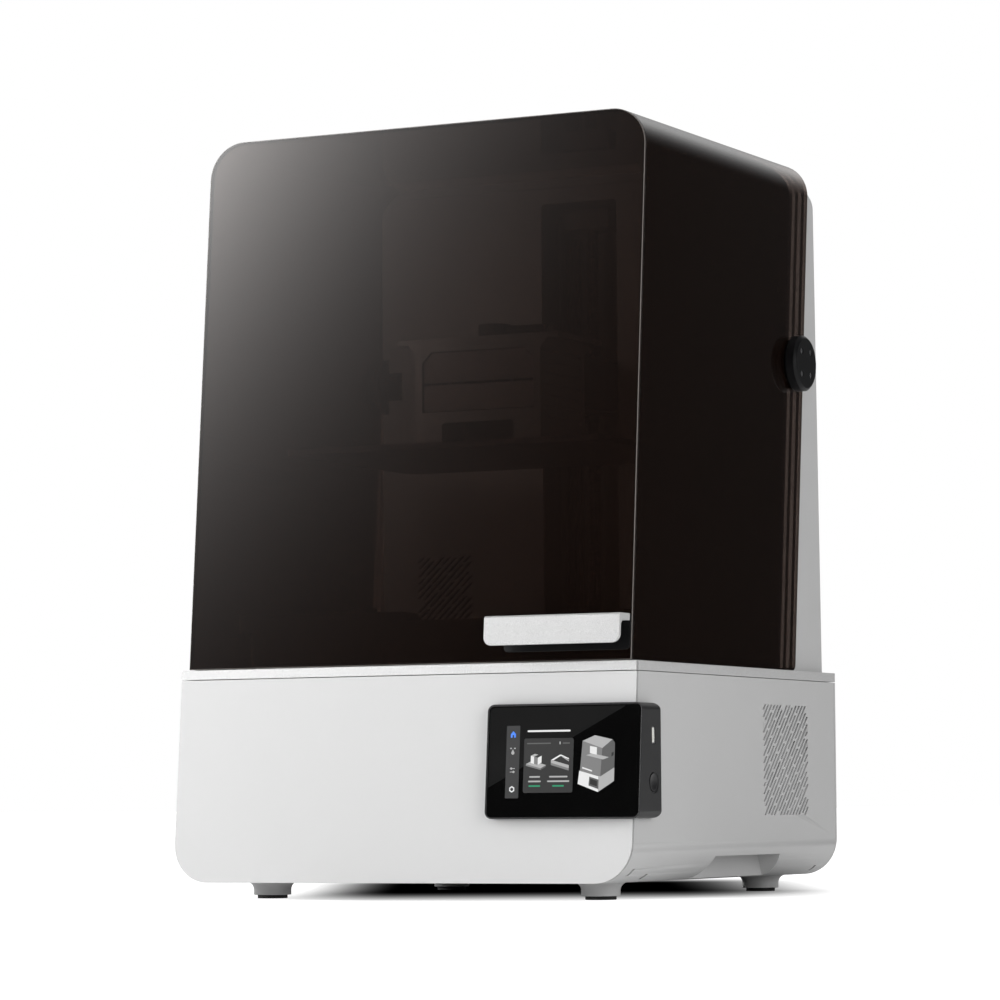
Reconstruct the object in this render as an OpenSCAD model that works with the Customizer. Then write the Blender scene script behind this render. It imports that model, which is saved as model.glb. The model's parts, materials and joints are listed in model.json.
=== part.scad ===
// Desktop resin printer with a flip-up tinted cover, a heated resin vat on an
// exposure screen and a build platform on a ball-screw Z axis.
// Row frame: +X right, +Y to the back, +Z up, floor at z = 0, origin under the middle of the bounding box.
// Inside the modules, places are measured from the deck: x from the middle, y from the front edge
// of the deck and z from the deck's top.

/* [Base] */
// Width of the base
base_w = 432; // [380:1:480]
// Depth of the base at deck level
base_d = 426; // [415:1:480]
// Height of the base without its feet
base_h = 181.4; // [170:0.2:220]
// Backward lean of the base front and the cover
lean_angle = 4.89; // [0:0.01:7]
// Radius of the lower side corners
base_r = 33; // [20:1:45]
// Thickness of the base panels
base_wall = 3; // [2:0.5:4]
// Thickness of the front panel's face
front_skin = 1.2; // [0.8:0.1:2]
// Width of the groove between that face and the side panels
front_groove = 3; // [1.5:0.1:4]
// Corner radius in the panel cut-outs
cut_r = 4; // [1:0.5:8]
// Gap between neighbouring pieces that are fixed to each other
seat_gap = 0.2; // [0.1:0.05:0.4]
// Gap round pieces that move past each other
move_gap = 0.4; // [0.3:0.05:1]

/* [Deck] */
// Height of the metal rim round the deck
deck_h = 8; // [6:0.5:12]
// Thickness of the deck plate
deck_t = 4; // [3:0.5:5]
// Width of the rim
deck_rim = 6; // [4:0.5:10]

/* [Feet] */
// Distance of each foot from the side of the base
foot_side = 59; // [45:1:70]
// Distance of the front feet from the front edge
foot_front = 52.5; // [40:0.5:90]
// Distance of the rear feet from the rear edge
foot_rear = 39; // [34:1:70]
// Height of the flared foot
foot_h = 11.5; // [8:0.5:20]
// Diameter of the foot at its lower end
foot_d = 32.5; // [27:0.5:44]
// Radius of the flare that meets the base
foot_flare = 7; // [2:0.5:8]
// Height of the rubber pad
pad_h = 3; // [2:0.5:8]
// Diameter of the rubber pad
pad_d = 26; // [18:1:32]

/* [Cover] */
// Step from the base side in to the cover side
cover_inset = 5.75; // [4:0.25:12]
// Height of the cover above the deck
cover_h = 463.2; // [462:0.2:520]
// Thickness of the tinted sheet
cover_t = 3; // [2:0.1:3.2]
// Radius of the upper side corners
cover_r = 32; // [15:1:45]
// Distance of the cover behind the front edge of the deck
cover_setback = 2; // [1:0.5:6]
// Overlap of the cover over the tower panel at deck level
cover_lap = 1.1; // [0.5:0.1:4]
// Backward lean of the cover's rear edge
cover_rear_lean = 5.56; // [0:0.01:6]
// Radius of the lower rear corners
cover_rear_r = 6; // [2:0.5:20]
// Gap between the cover's foot and the deck
cover_gap = 0.6; // [0.4:0.1:1.5]

/* [Handle] */
// Distance from the base side to the right end of the handle
handle_side = 7; // [7:0.5:40]
// Length of the handle
handle_w = 124; // [80:1:124]
// Height of the handle's lower edge above the deck
handle_z = 14; // [10:0.5:20]
// Height of the handle's front leg
handle_h = 24.5; // [20:0.5:30]
// Distance the handle stands out of the cover
handle_out = 21.5; // [16:0.5:21.5]
// Thickness of the front leg
handle_t = 3; // [2:0.5:5]
// Thickness of the upper leg
handle_leg = 6; // [4:0.5:8]
// Radius of the lower corners
handle_r = 7; // [2:0.5:10]
// Thickness of the black backing plate
backing_t = 2; // [1:0.5:3]
// Distance of the backing's left end from the handle's
backing_inset = 9; // [2:1:15]
// Height of the backing's lower edge above the deck
backing_z = 9; // [4:0.5:12]

/* [Cover hinge] */
// Distance of the hinge axis behind the tower panel face
hinge_back = 5.6; // [4:0.2:8]
// Height of the hinge axis above the deck
hinge_z = 275.6; // [270:0.2:285]
// Diameter of the outer cap
cap_d = 50; // [40:1:56]
// Thickness of the outer cap
cap_t = 12.5; // [11:0.5:15]
// Chamfer round the cap's face and its back
cap_chamfer = 2.5; // [1:0.5:4]
// Diameter of the cap's neck in the cover
neck_d = 28; // [24:1:32]
// Diameter of the hinge pin
pin_d = 12; // [8:0.5:14]
// Radial running clearance of the pin
pin_fit = 0.05; // [0.02:0.01:0.09]
// Diameter of the flange on the tower
flange_d = 52; // [44:1:60]
// Thickness of the flange on the tower
flange_t = 6; // [4:0.5:10]
// Length of the barrel behind the flange
barrel_l = 14; // [8:1:20]
// Diameter of the barrel
barrel_d = 28; // [22:1:34]
// Radius of the circle of cap screws
cap_screw_ring = 14.5; // [10:0.5:17]
// Diameter of the cap screw heads
cap_screw_d = 5; // [3:0.5:6]

/* [Tower] */
// Gap between the tower and the cover at each side
tower_gap = 1.25; // [1:0.05:3]
// Step from the rear edge of the deck in to the tower
tower_inset = 6; // [3:0.5:15]
// Gap between the tower and the cover at the top
tower_drop = 8.7; // [8:0.1:12]
// Depth of the tower at its foot
tower_d = 73.6; // [70:0.1:75]
// Forward lean of the tower's back
tower_lean = 1.05; // [0:0.01:1.5]
// Radius of the upper side corners
tower_r = 29; // [26:1:40]
// Radius of the upper rear corner
tower_rear_r = 28; // [20:1:32]
// Thickness of the front panel
panel_t = 3; // [2:0.5:4]
// Thickness of the tower's sheet metal
shell_t = 2.5; // [1.5:0.5:3]
// Width of the slot for the platform arm
slot_w = 77; // [74:0.5:77]
// Height of the slot's lower end above the deck
slot_low = 6; // [2:1:30]
// Distance of the slot's upper end below the tower's top
slot_top = 14.5; // [12:0.5:18]

/* [Vents] */
// Slant of the vent slots
vent_angle = 44; // [40:1:55]
// Width of a vent slot
vent_slot = 2.6; // [1.8:0.1:3]
// Distance between rows of slots, along the vent
vent_pitch = 6.9; // [6.5:0.1:10]
// Height of one slot and the bridge after it
vent_step = 25; // [18:0.5:32]
// Height of the bridge between two slots
vent_bridge = 1.9; // [1.8:0.1:4]
// Rise of the bridges from row to row, as a share of the step
vent_shift = 0.365; // [0.3:0.005:0.45]
// Height of the first row's lowest bridge, as a share of the step
vent_start = 0.21; // [0:0.01:0.99]
// Distance of the vent from the left side of the tower
tower_vent_side = 35.5; // [30:0.5:60]
// Width of the tower vent
tower_vent_w = 58.7; // [40:0.5:60]
// Lower end of the tower vent above the deck
tower_vent_z = 55; // [50:1:60]
// Height of the tower vent
tower_vent_h = 59; // [40:1:60]
// Front end of the side vents
side_vent_y = 258.5; // [250:0.5:262]
// Length of the side vents
side_vent_l = 102.5; // [60:0.5:110]
// Distance of the side vents below the deck
side_vent_z = 31; // [25:1:40]
// Height of the side vents
side_vent_h = 96.5; // [60:0.5:100]
// Thickness of the filter behind the tower vent
filter_t = 20; // [12:1:26]
// Width of the filter's rim
filter_rim = 3; // [2:0.5:5]
// Pitch of the filter's ribs
filter_cell = 12; // [8:1:20]

/* [Carrying grips] */
// Distance of the grip's middle from the front edge
grip_y = 230; // [215:1:236]
// Length of the grip at its upper edge
grip_l = 139; // [120:1:160]
// Length of each slanted end
grip_slant = 10; // [5:1:24]
// Height of the grip
grip_h = 20; // [14:0.5:24]
// Depth of the grip
grip_depth = 24; // [18:1:30]
// Radius of the grip's inner corners
grip_r = 13; // [6:1:16]

/* [Screen module] */
// Width of the screen module
screen_w = 140.6; // [120:0.2:170]
// Distance the module stands out of the base's side
screen_side = 10; // [6:0.5:12]
// Distance of the module's top below the deck
screen_top = 34.5; // [30:0.5:40]
// Height of the module
screen_h = 94; // [84:0.5:96]
// Distance the module stands out of the front
screen_out = 8; // [4:0.5:12]
// Distance of the module's upright back behind the front edge of the deck
screen_back = 24.5; // [21:0.5:28]
// Corner radius of the module
screen_r = 6; // [3:0.5:8]
// Wall of the module's housing
screen_wall = 2.4; // [1.6:0.1:3]
// Thickness of the cover glass
glass_t = 1.6; // [1:0.1:2]
// Thickness of the display and its board
board_t = 5; // [3:0.5:8]
// Distance of the socket and the button behind the deck's front edge
button_y = 10; // [8:0.5:12]
// Diameter of the power button
button_d = 15; // [12:0.5:18]
// Distance of the button's middle below the deck
button_z = 99.3; // [95:0.1:104]
// Width of the shallow ring round the power button
button_rim = 1.8; // [1:0.1:2]
// Travel of the power button
button_travel = 1.2; // [0.8:0.1:1.6]
// Distance of the socket's middle below the deck
usb_z = 61.1; // [56:0.1:66]
// Width of the data socket's opening
usb_w = 12.5; // [12.5:0.1:13]
// Height of the data socket's opening
usb_h = 4.6; // [4.5:0.1:5.2]

/* [Exposure] */
// Overlap of the vat walls over the exposure screen at the sides
lcd_lap_x = 2; // [1:0.5:4]
// Overlap of the vat walls over the exposure screen, front and rear
lcd_lap_y = 1; // [0.5:0.5:4]
// Gap between the vat and the heater bracket
vat_rear_gap = 0.6; // [0.5:0.1:3]
// Thickness of the exposure screen
lcd_t = 2; // [1.5:0.1:3]
// Width of the screen's frame
lcd_border = 6; // [4:0.5:8]
// Thickness of the collimating lens
lens_t = 3; // [2:0.5:5]
// Height of the light box
light_h = 92; // [80:1:96]
// Wall of the light box
light_wall = 2; // [1.5:0.5:3]
// Width of the lamp board
lamp_w = 140; // [120:1:160]
// Depth of the lamp board
lamp_d = 110; // [90:1:130]
// Thickness of the lamp board
lamp_t = 2; // [1.5:0.5:3]
// Distance between two lamp lenses
lamp_pitch = 22; // [18:1:26]
// Diameter of a lamp lens
lamp_lens_d = 14; // [10:1:16]
// Height of the heat sink
sink_h = 26; // [20:1:30]
// Thickness of a heat-sink fin
fin_t = 2; // [1.5:0.5:3]
// Distance between two fins
fin_pitch = 7; // [6:0.5:10]
// Size of the lamp fan
lamp_fan = 80; // [60:1:92]
// Thickness of the lamp fan
lamp_fan_t = 15; // [10:1:20]

/* [Electronics] */
// Width of the mainboard
main_w = 90; // [70:1:100]
// Depth of the mainboard
main_d = 160; // [120:1:180]
// Height of the board's stand-offs
standoff_h = 8; // [5:0.5:12]
// Width of the power supply
supply_w = 98; // [80:1:105]
// Depth of the power supply
supply_d = 200; // [160:1:215]
// Height of the power supply
supply_h = 40; // [30:1:50]
// Size of the rear fan
rear_fan = 80; // [60:1:92]
// Thickness of the rear fan
rear_fan_t = 25; // [15:1:30]
// Distance of the rear fan's middle below the deck
rear_fan_z = 80; // [70:1:100]
// Distance of the rear fan from the middle
rear_fan_x = 110; // [90:1:130]
// Distance of the power inlet from the middle
inlet_x = 150; // [140:1:160]
// Distance of the power inlet below the deck
inlet_z = 60; // [50:1:80]
// Width of the chips on the main board
chip_w = 16; // [10:1:24]
// Height of the chips on the main board
chip_t = 3; // [2:0.5:5]
// Width of the plug sockets on the main board
socket_w = 10; // [6:1:14]
// Height of the plug sockets on the main board
socket_h = 9; // [6:1:12]

/* [Z axis] */
// Distance of the ball screw behind the tower panel face
screw_back = 29.6; // [28:0.2:31]
// Diameter of the ball screw
screw_d = 12; // [10:0.5:13]
// Diameter of the screw's end journals
journal_d = 8; // [6:0.5:8]
// Distance of each rail from the screw
rail_x = 27; // [26:0.5:28]
// Width of a guide rail
rail_w = 12; // [10:0.5:14]
// Height of a guide rail
rail_h = 8; // [7:0.5:9]
// Distance of the column's face behind the screw
column_y = 20; // [19:0.5:21]
// Width of the column
column_w = 90; // [84:1:96]
// Thickness of the column
column_t = 10; // [6:0.5:11]
// Height of the bearing blocks
block_h = 18; // [14:1:20]
// Width of the bearing blocks
block_w = 46; // [40:1:50]
// Size of the Z motor
motor_w = 57; // [42:1:60]
// Length of the Z motor
motor_h = 56; // [40:1:60]
// Diameter of the shaft coupler
coupler_d = 25; // [20:1:28]
// Length of the shaft coupler
coupler_h = 30; // [24:1:32]
// Diameter of the ball nut
nut_d = 22; // [20:0.5:23]
// Length of the ball nut
nut_h = 34; // [28:1:40]
// Depth of the carriage
carriage_d = 21; // [18:0.5:21]
// Width of the platform arm
arm_w = 72; // [64:0.5:72]
// Height of the platform arm
arm_h = 46; // [40:1:50]

/* [Platform] */
// Width of the build plate
plate_w = 304; // [280:1:310]
// Depth of the build plate
plate_d = 234; // [210:1:238]
// Thickness of the build plate
plate_t = 5.5; // [4:0.5:8]
// Height of the build plate above the deck
plate_z = 188; // [150:1:200]
// Corner radius of the build plate
plate_r = 6; // [3:1:15]
// Width of the plate's bracket
bracket_w = 123; // [110:1:130]
// Depth of the bracket
bracket_d = 88; // [80:1:95]
// Height of the bracket over the plate
bracket_h = 98.5; // [94:0.5:104]
// Distance from the front of the bracket to the middle of the plate
bracket_ahead = 44.8; // [40:0.2:60]
// Wall of the bracket
bracket_t = 7; // [5:0.5:9]
// Width of the bracket's top plate
bracket_top_w = 158; // [140:1:170]
// Thickness of the bracket's top plate
bracket_top_t = 5; // [4:0.5:7]
// Height of the grooves in the bracket's sides
groove_h = 3; // [2:0.5:4]
// Distance between two grooves
groove_pitch = 9.6; // [8:0.2:12]
// Depth of the grooves
groove_t = 3; // [2:0.5:4]
// Depth of the arm's tongue in the bracket
tongue_l = 56; // [40:1:60]
// Width of the tongue
tongue_w = 56; // [44:1:60]
// Height of the tongue
tongue_h = 30; // [24:1:34]
// Wall of the tongue's socket
socket_t = 4; // [3:0.5:6]
// Diameter of the release knob
lever_d = 30; // [24:1:34]
// Length of the release lever from its axis
lever_l = 50; // [40:1:55]
// Height of the release knob
lever_h = 13; // [10:0.5:16]
// Height of the carriage above the build plate
carriage_rise = 46.5; // [44:0.5:50]
// Height of the bracket's side openings above the bracket's foot
opening_rise = 33.4; // [30:0.2:36]
// Distance of the side openings below the bracket's top plate
opening_drop = 7; // [5:0.5:10]
// Half width of the arch under the bracket
arch_x = 35; // [25:1:40]
// Height of the arch under the bracket
arch_h = 23.5; // [16:0.5:26]
// Size of the corner fillets under the bracket's top plate
gusset = 8; // [4:0.5:10]
// Distance of the lowest side groove below the side openings
groove_start = 10; // [6:0.5:14]
// Distance of the side grooves from the bracket's front and rear
groove_end = 6; // [4:0.5:12]
// Distance of the lever behind the bracket's front
lever_back = 35; // [25:1:45]
// Step from the bracket's front in to the clamp plates
clamp_inset = 2; // [1:0.5:3]
// Gap round the clamp plates
clamp_gap = 0.8; // [0.5:0.1:2]
// Gap between the two clamp plates
clamp_split = 2.4; // [1:0.2:4]
// Height of the lower clamp plate
clamp_low_h = 23; // [16:0.5:26]

/* [Vat] */
// Thickness of the vat walls at the sides
vat_wall_x = 13; // [8:0.5:16]
// Thickness of the vat walls, front and rear
vat_wall_y = 29; // [16:0.5:30]
// Height of the vat's low rim
vat_h = 39.5; // [36:0.5:42]
// Height of the raised rim over the low rim
vat_raise = 7.5; // [4:0.5:9]
// Width of the vat's side rims
vat_rim = 12; // [8:0.5:14]
// Thickness of the vat's rim
vat_rim_t = 6; // [4:0.5:8]
// Radius of the vat's outer corners
vat_r = 16; // [8:1:24]
// Gap between the build plate and the vat walls at the sides
vat_gap_x = 7; // [4:0.5:9]
// Gap between the build plate and the vat walls, front and rear
vat_gap_y = 8; // [4:0.5:9]
// Height of the film frame
film_frame_h = 3.6; // [3:0.1:5]
// Thickness of the film
film_t = 0.4; // [0.3:0.1:0.6]
// Gap between the vat and the deck
vat_gap = 0.3; // [0.2:0.05:0.5]
// Right end of the raised front rim
raise_x = -12; // [-40:1:40]
// Front end of the raised side rim
raise_y = 92; // [80:1:110]
// Diameter of the vat knobs
knob_d = 18; // [14:0.5:20]
// Height of the vat knobs
knob_h = 16; // [12:0.5:20]
// Diameter of the vat studs
stud_d = 6; // [5:0.5:8]
// Width of the heater bracket at its top
heater_w = 104; // [90:1:110]
// Width of the heater bracket at its foot
heater_low_w = 27; // [20:1:34]
// Middle of the heater bracket
heater_x = 131; // [126:1:136]
// Lower edge of the heater bracket above the deck
heater_z = 50; // [49:0.5:54]
// Height of the heater bracket
heater_h = 51; // [40:1:56]
// Depth of the heater bracket
heater_d = 7; // [6:0.5:10]
// Distance of the vat knobs behind the middle of the vat
knob_back = 73; // [40:1:90]

/* [Hidden] */
$fn = 64;

// Backward run of the leaning faces for each millimetre of height
lean = tan(lean_angle);
cover_rear_run = tan(cover_rear_lean);
tower_run = tan(tower_lean);
// A length past any surface, for cuts
over = 1;
arc_steps = 10;
// Height of the deck's top over the floor
deck_top = base_h + foot_h + pad_h;
// Sizes that follow from the base, the cover and the build plate
cover_w = base_w - 2 * cover_inset;
tower_w = cover_w - 2 * (cover_t + tower_gap);
tower_h = cover_h - cover_t - tower_drop;
tower_y = base_d - tower_inset - tower_d;
cover_d = tower_y + cover_lap - cover_setback;
hinge_y = tower_y + hinge_back;
screw_y = tower_y + screw_back;
foot_x = base_w / 2 - foot_side;
handle_x = base_w / 2 - handle_side - handle_w;
tower_vent_x = -tower_w / 2 + tower_vent_side;
vat_open_w = plate_w + 2 * vat_gap_x;
vat_open_d = plate_d + 2 * vat_gap_y;
vat_w = vat_open_w + 2 * vat_wall_x;
vat_d = vat_open_d + 2 * vat_wall_y;
lcd_w = vat_open_w + 2 * lcd_lap_x;
lcd_d = vat_open_d + 2 * lcd_lap_y;
work_y = tower_y - heater_d - vat_rear_gap - vat_d / 2;
bracket_y = work_y - bracket_ahead;
// Furthest reach of the screen module in front of the deck's front edge
front_reach = screen_out + lean * (screen_top + screen_h);
// Middle of the bounding box, behind the deck's front edge and right of the deck's middle
row_y = (base_d - front_reach) / 2;
row_x = (screen_side + cover_inset - cap_t) / 2;

// Visible seam between the panels
seam = 0.6;
// Heights and places on the base
floor_z = -base_h + base_wall;
panel_top = -deck_h - seam;
wrap_front = front_skin + front_groove;
groove_depth = 0.8 * base_wall;
rear_y = base_d - base_wall;
low_slot_l = 8.5;
low_slot_w = 4;
low_slot_front = 8;
low_slot_step = 36;
low_slot_rear = 25;
// Places on the screen module
screen_right = base_w / 2 + screen_side;
screen_low = -screen_top - screen_h;
screen_x = screen_right - screen_w;
usb_shell = 0.6;
usb_l = 16;
glass_inset = screen_wall / 2;
// Places on the cover
cover_x = cover_w / 2;
cap_face = cover_x + cap_t;
cap_bore_end = cap_face - 6;
barrel_x = tower_w / 2 - flange_t - barrel_l;
// Places on the exposure unit
lcd_ledge = 4;
lens_z = -deck_t - lcd_t - seat_gap;
box_z = lens_z - lens_t - seat_gap;
lamp_z = box_z - light_h - seat_gap;
sink_z = lamp_z - lamp_t - seat_gap;
lamp_fan_z = sink_z - sink_h - seat_gap;
// Fans
fan_rim = 4;
fan_hub = 0.4;
fan_strut = 2.5;
fan_blades = 7;
// Places of the electronics
main_x = 30;
main_y = 34;
main_t = 1.6;
supply_gap = 25;
inlet_w = 31;
inlet_h = 58;
rocker_w = 20.2;
// Places on the Z axis
column_face = screw_y + column_y;
column_top = tower_h - slot_top - 5;
bearing_z = column_top - block_h;
bearing_front = screw_y - 14;
carriage_y = column_face - rail_h - 5 - carriage_d;
carriage_z = plate_z + plate_t + carriage_rise;
coupler_z = -deck_h - 2;
motor_z = coupler_z - coupler_h - 22;
motor_shaft_d = 6.35;
pilot_d = 38;
carriage_side = 15;
slider_w = 27;
rail_z = [block_h + 12, bearing_z - 6];
// Rocker and socket of the power inlet
rocker_z = -inlet_z + 15;
rocker_y = base_d - 8;
socket_z = -inlet_z - 11;
rocker_tilt = 8;
// Places on the platform
bracket_z = plate_z + plate_t;
bracket_top = bracket_z + bracket_h;
bracket_rear = bracket_y + bracket_d;
tongue_z = carriage_z + (arm_h - tongue_h) / 2;
opening_x = bracket_w / 2 - bracket_t;
opening_z = bracket_z + opening_rise;
opening_top = bracket_top - bracket_top_t - opening_drop;
opening_corner = 9;
lever_y = bracket_y + lever_back;
clamp_t = 4;
clamp_y = bracket_y + clamp_inset;
bracket_foot = 4.5;
groove_count = 7;
lever_stud_d = 10;
// Places on the vat
film_z = vat_gap + film_frame_h;
body_z = film_z + film_t;
film_inset = 4;
film_lap = 6;
vat_top = vat_h + vat_raise;
knob_x = vat_w / 2 + vat_rim - knob_d / 2;
knob_y = work_y + knob_back;

// ---- shapes ----

// Points of the arc that rounds corner p, between its neighbours a and b
function corner_arc(a, p, b, r) =
    let (to_a = (a - p) / norm(a - p), to_b = (b - p) / norm(b - p), half = acos(to_a * to_b) / 2,
        middle = (to_a + to_b) / norm(to_a + to_b), centre = p + middle * r / sin(half),
        start = p + to_a * r / tan(half) - centre, end = p + to_b * r / tan(half) - centre,
        from = atan2(start[1], start[0]), sweep = (atan2(end[1], end[0]) - from + 540) % 360 - 180)
    [for (i = [0:arc_steps]) let (turn = from + sweep * i / arc_steps) centre + r * [cos(turn), sin(turn)]];

// A polygon's points with each corner rounded to its own radius
function rounded_path(p, radii) =
    let (last = len(p) - 1)
    [for (i = [0:last]) each radii[i] > 0
        ? corner_arc(p[i == 0 ? last : i - 1], p[i], p[i == last ? 0 : i + 1], radii[i]) : [p[i]]];

// Children placed from the middle of the deck's front edge
module on_deck() translate([-row_x, -row_y, deck_top]) children();

// A flat (y, z) outline made solid from x0 to x1
module along_x(x0, x1) translate([x0, 0, 0]) rotate([90, 0, 90]) linear_extrude(x1 - x0) children();

// A flat (x, z) outline made solid from y0 to y1
module along_y(y0, y1) translate([0, y1, 0]) rotate([90, 0, 0]) linear_extrude(y1 - y0) children();

// A box between two corners
module block(x, y, z) translate([x[0], y[0], z[0]]) cube([x[1] - x[0], y[1] - y[0], z[1] - z[0]]);

module rod_x(x0, x1, y, z, d) translate([x0, y, z]) rotate([0, 90, 0]) cylinder(d = d, h = x1 - x0);

module rod_y(y0, y1, x, z, d) translate([x, y1, z]) rotate([90, 0, 0]) cylinder(d = d, h = y1 - y0);

module rod_z(z0, z1, x, y, d) translate([x, y, z0]) cylinder(d = d, h = z1 - z0);

// A rectangle with rounded lower and upper corners
module rounded(x, y, r_low, r_high) {
    middle = (y[0] + y[1]) / 2;
    translate([x[0], y[0] + r_low]) square([x[1] - x[0], y[1] - y[0] - r_low - r_high]);
    translate([x[0] + r_low, y[0]]) square([x[1] - x[0] - 2 * r_low, middle - y[0]]);
    translate([x[0] + r_high, middle]) square([x[1] - x[0] - 2 * r_high, y[1] - middle]);
    for (corner = [x[0], x[1]]) {
        side = corner == x[0] ? 1 : -1;
        if (r_low > 0) translate([corner + side * r_low, y[0] + r_low]) circle(r_low);
        if (r_high > 0) translate([corner + side * r_high, y[1] - r_high]) circle(r_high);
    }
}

// A (y, z) outline between two planes that lean with the front
module leaning(y, z)
    polygon([[y[0] + lean * z[0], z[0]], [y[0] + lean * z[1], z[1]],
        [y[1] + lean * z[1], z[1]], [y[1] + lean * z[0], z[0]]]);

// A (y, z) outline between a leaning front and an upright back
module upright(y, z, rear_r = 0)
    polygon(rounded_path([[y[0] + lean * z[0], z[0]], [y[0] + lean * z[1], z[1]],
        [y[1], z[1]], [y[1], z[0]]], [0, 0, rear_r, rear_r]));

// One slanted vent slot from height z0 to z1 on the row that starts at x
module vent_slot_2d(x, z0, z1) {
    run = 1 / tan(vent_angle);
    half = vent_slot / 2 / sin(vent_angle);
    tip = vent_slot / 4;
    end = half / 2;
    polygon([[x + z0 * run + end, z0], [x + (z0 + tip) * run + half, z0 + tip],
             [x + (z1 - tip) * run + half, z1 - tip], [x + z1 * run + end, z1],
             [x + z1 * run - end, z1], [x + (z1 - tip) * run - half, z1 - tip],
             [x + (z0 + tip) * run - half, z0 + tip], [x + z0 * run - end, z0]]);
}

// Rows of slanted slots, staggered, that fill a window of w by h
module vent_2d(w, h) {
    run = 1 / tan(vent_angle);
    shortest = 3.5;
    half = vent_slot / 2 / sin(vent_angle);
    rows = floor((w + h * run) / vent_pitch);
    for (row = [0:rows]) {
        x = row * vent_pitch - h * run;
        low = max(0, (half - x) / run);
        high = min(h, (w - half - x) / run);
        shift = vent_step * ((row * vent_shift + vent_start) % 1);
        for (n = [-1:ceil(h / vent_step)]) {
            z0 = max(low, n * vent_step + shift);
            z1 = min(high, (n + 1) * vent_step + shift - vent_bridge);
            if (z1 - z0 > shortest) vent_slot_2d(x, z0, z1);
        }
    }
}

// The base's front outline, inset all round
module base_outline(inset, top)
    rounded([-base_w / 2 + inset, base_w / 2 - inset], [-base_h + inset, top], base_r - inset, 0);

// The cover's front outline, inset all round and open at its foot
module cover_outline(inset, foot)
    rounded([-cover_x + inset, cover_x - inset], [foot, cover_h - inset], 0, cover_r - inset);

// The cut-out in the base for the screen module
module screen_cut()
    intersection() {
        along_y(-base_d, base_d) rounded([screen_x - seat_gap, base_w],
            [screen_low - seat_gap, -screen_top + seat_gap], screen_r, screen_r);
        along_x(0, base_w) upright([-screen_out - over, screen_back + seat_gap], [screen_low - over, 0]);
    }

// A carrying grip's hollow on the right side, grown for its lining
module grip(grow)
    along_x(base_w / 2 - grip_depth - grow, base_w / 2 - (grow > 0 ? base_wall / 2 : -over))
        polygon([[grip_y - grip_l / 2 - grow, -base_h + grip_h + grow],
                 [grip_y + grip_l / 2 + grow, -base_h + grip_h + grow],
                 [grip_y + grip_l / 2 + grip_slant + grow, -base_h - over],
                 [grip_y - grip_l / 2 - grip_slant - grow, -base_h - over]]);

// That hollow with its inner corners rounded along the slanted ends
module grip_hollow() {
    slant = atan(grip_slant / (grip_h + over));
    difference() {
        grip(0);
        for (end = [-1, 1])
            translate([base_w / 2 - grip_depth, grip_y + end * grip_l / 2, -base_h + grip_h])
                rotate([end * slant, 0, 0]) difference() {
                    translate([-over, end > 0 ? -grip_r : -over, -2 * grip_h])
                        cube([grip_r + over, grip_r + over, 3 * grip_h]);
                    rod_z(-2 * grip_h - over, grip_h + over, grip_r, -end * grip_r, 2 * grip_r);
                }
    }
}

module both_sides() {
    children();
    mirror([1, 0, 0]) children();
}

// ---- base ----

// Small slots through the lower corner, by distance from the front edge and angle round the corner
module low_slots()
    for (slot = [[low_slot_front, 48], [low_slot_front + low_slot_step, 60], [base_d - low_slot_rear, 56]])
        translate([base_w / 2 - base_r, slot[0], -base_h + base_r]) rotate([0, slot[1], 0])
            translate([base_r - 2 * base_wall, -low_slot_w / 2, -low_slot_l / 2])
                cube([3 * base_wall, low_slot_w, low_slot_l]);

module base_wrap() color("gainsboro") on_deck() {
    difference() {
        intersection() {
            union() {
                difference() {
                    along_y(-base_d, rear_y - seam) base_outline(0, panel_top);
                    along_y(-base_d, base_d) base_outline(base_wall, over);
                }
                intersection() {
                    along_y(0, rear_y) base_outline(0, panel_top);
                    both_sides() grip(base_wall);
                }
            }
            along_x(-base_w, base_w) polygon([
                [wrap_front - lean * base_h, -base_h], [wrap_front, 0],
                [base_d, 0], [base_d, -base_h]]);
        }
        both_sides() grip_hollow();
        both_sides() low_slots();
        both_sides() along_x(base_w / 2 - base_wall - over, base_w / 2 + over)
            translate([side_vent_y, -side_vent_z - side_vent_h]) vent_2d(side_vent_l, side_vent_h);
        screen_cut();
    }
}

// A layer of the front panel, inset at the sides and the bottom
module front_layer(inset, thickness)
    intersection() {
        along_y(-base_d, base_d) base_outline(inset, panel_top);
        along_x(-base_w, base_w) leaning([0, thickness], [-base_h, 0]);
    }

module front_panel() color("whitesmoke") on_deck()
    difference() {
        union() {
            front_layer(0, front_skin);
            front_layer(groove_depth, wrap_front - seam);
        }
        screen_cut();
    }

// A round grille of level slots
module grille_2d(d) {
    pitch = 6;
    rows = floor(d / 2 / pitch - 0.5);
    for (row = [-rows:rows]) {
        half = sqrt(d * d / 4 - row * row * pitch * pitch);
        translate([-half, row * pitch - pitch / 4]) square([2 * half, pitch / 2]);
    }
}

module inlet_outline(grow) {
    x = inlet_w / 2 + grow;
    z = inlet_h / 2 + grow;
    rounded([inlet_x - x, inlet_x + x], [-inlet_z - z, -inlet_z + z], 3, 3);
}

module rear_panel() color("gainsboro") on_deck()
    difference() {
        along_y(rear_y, base_d) base_outline(0, panel_top);
        along_y(rear_y - over, base_d + over) inlet_outline(seat_gap);
        along_y(rear_y - over, base_d + over)
            translate([-rear_fan_x, -rear_fan_z]) grille_2d(rear_fan - 6);
    }

// The exposure screen's outline, grown by a gap
module lcd_outline(grow) {
    x = lcd_w / 2 + grow;
    y = lcd_d / 2 + grow;
    translate([0, work_y]) rounded([-x, x], [-y, y], cut_r, cut_r);
}

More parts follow.
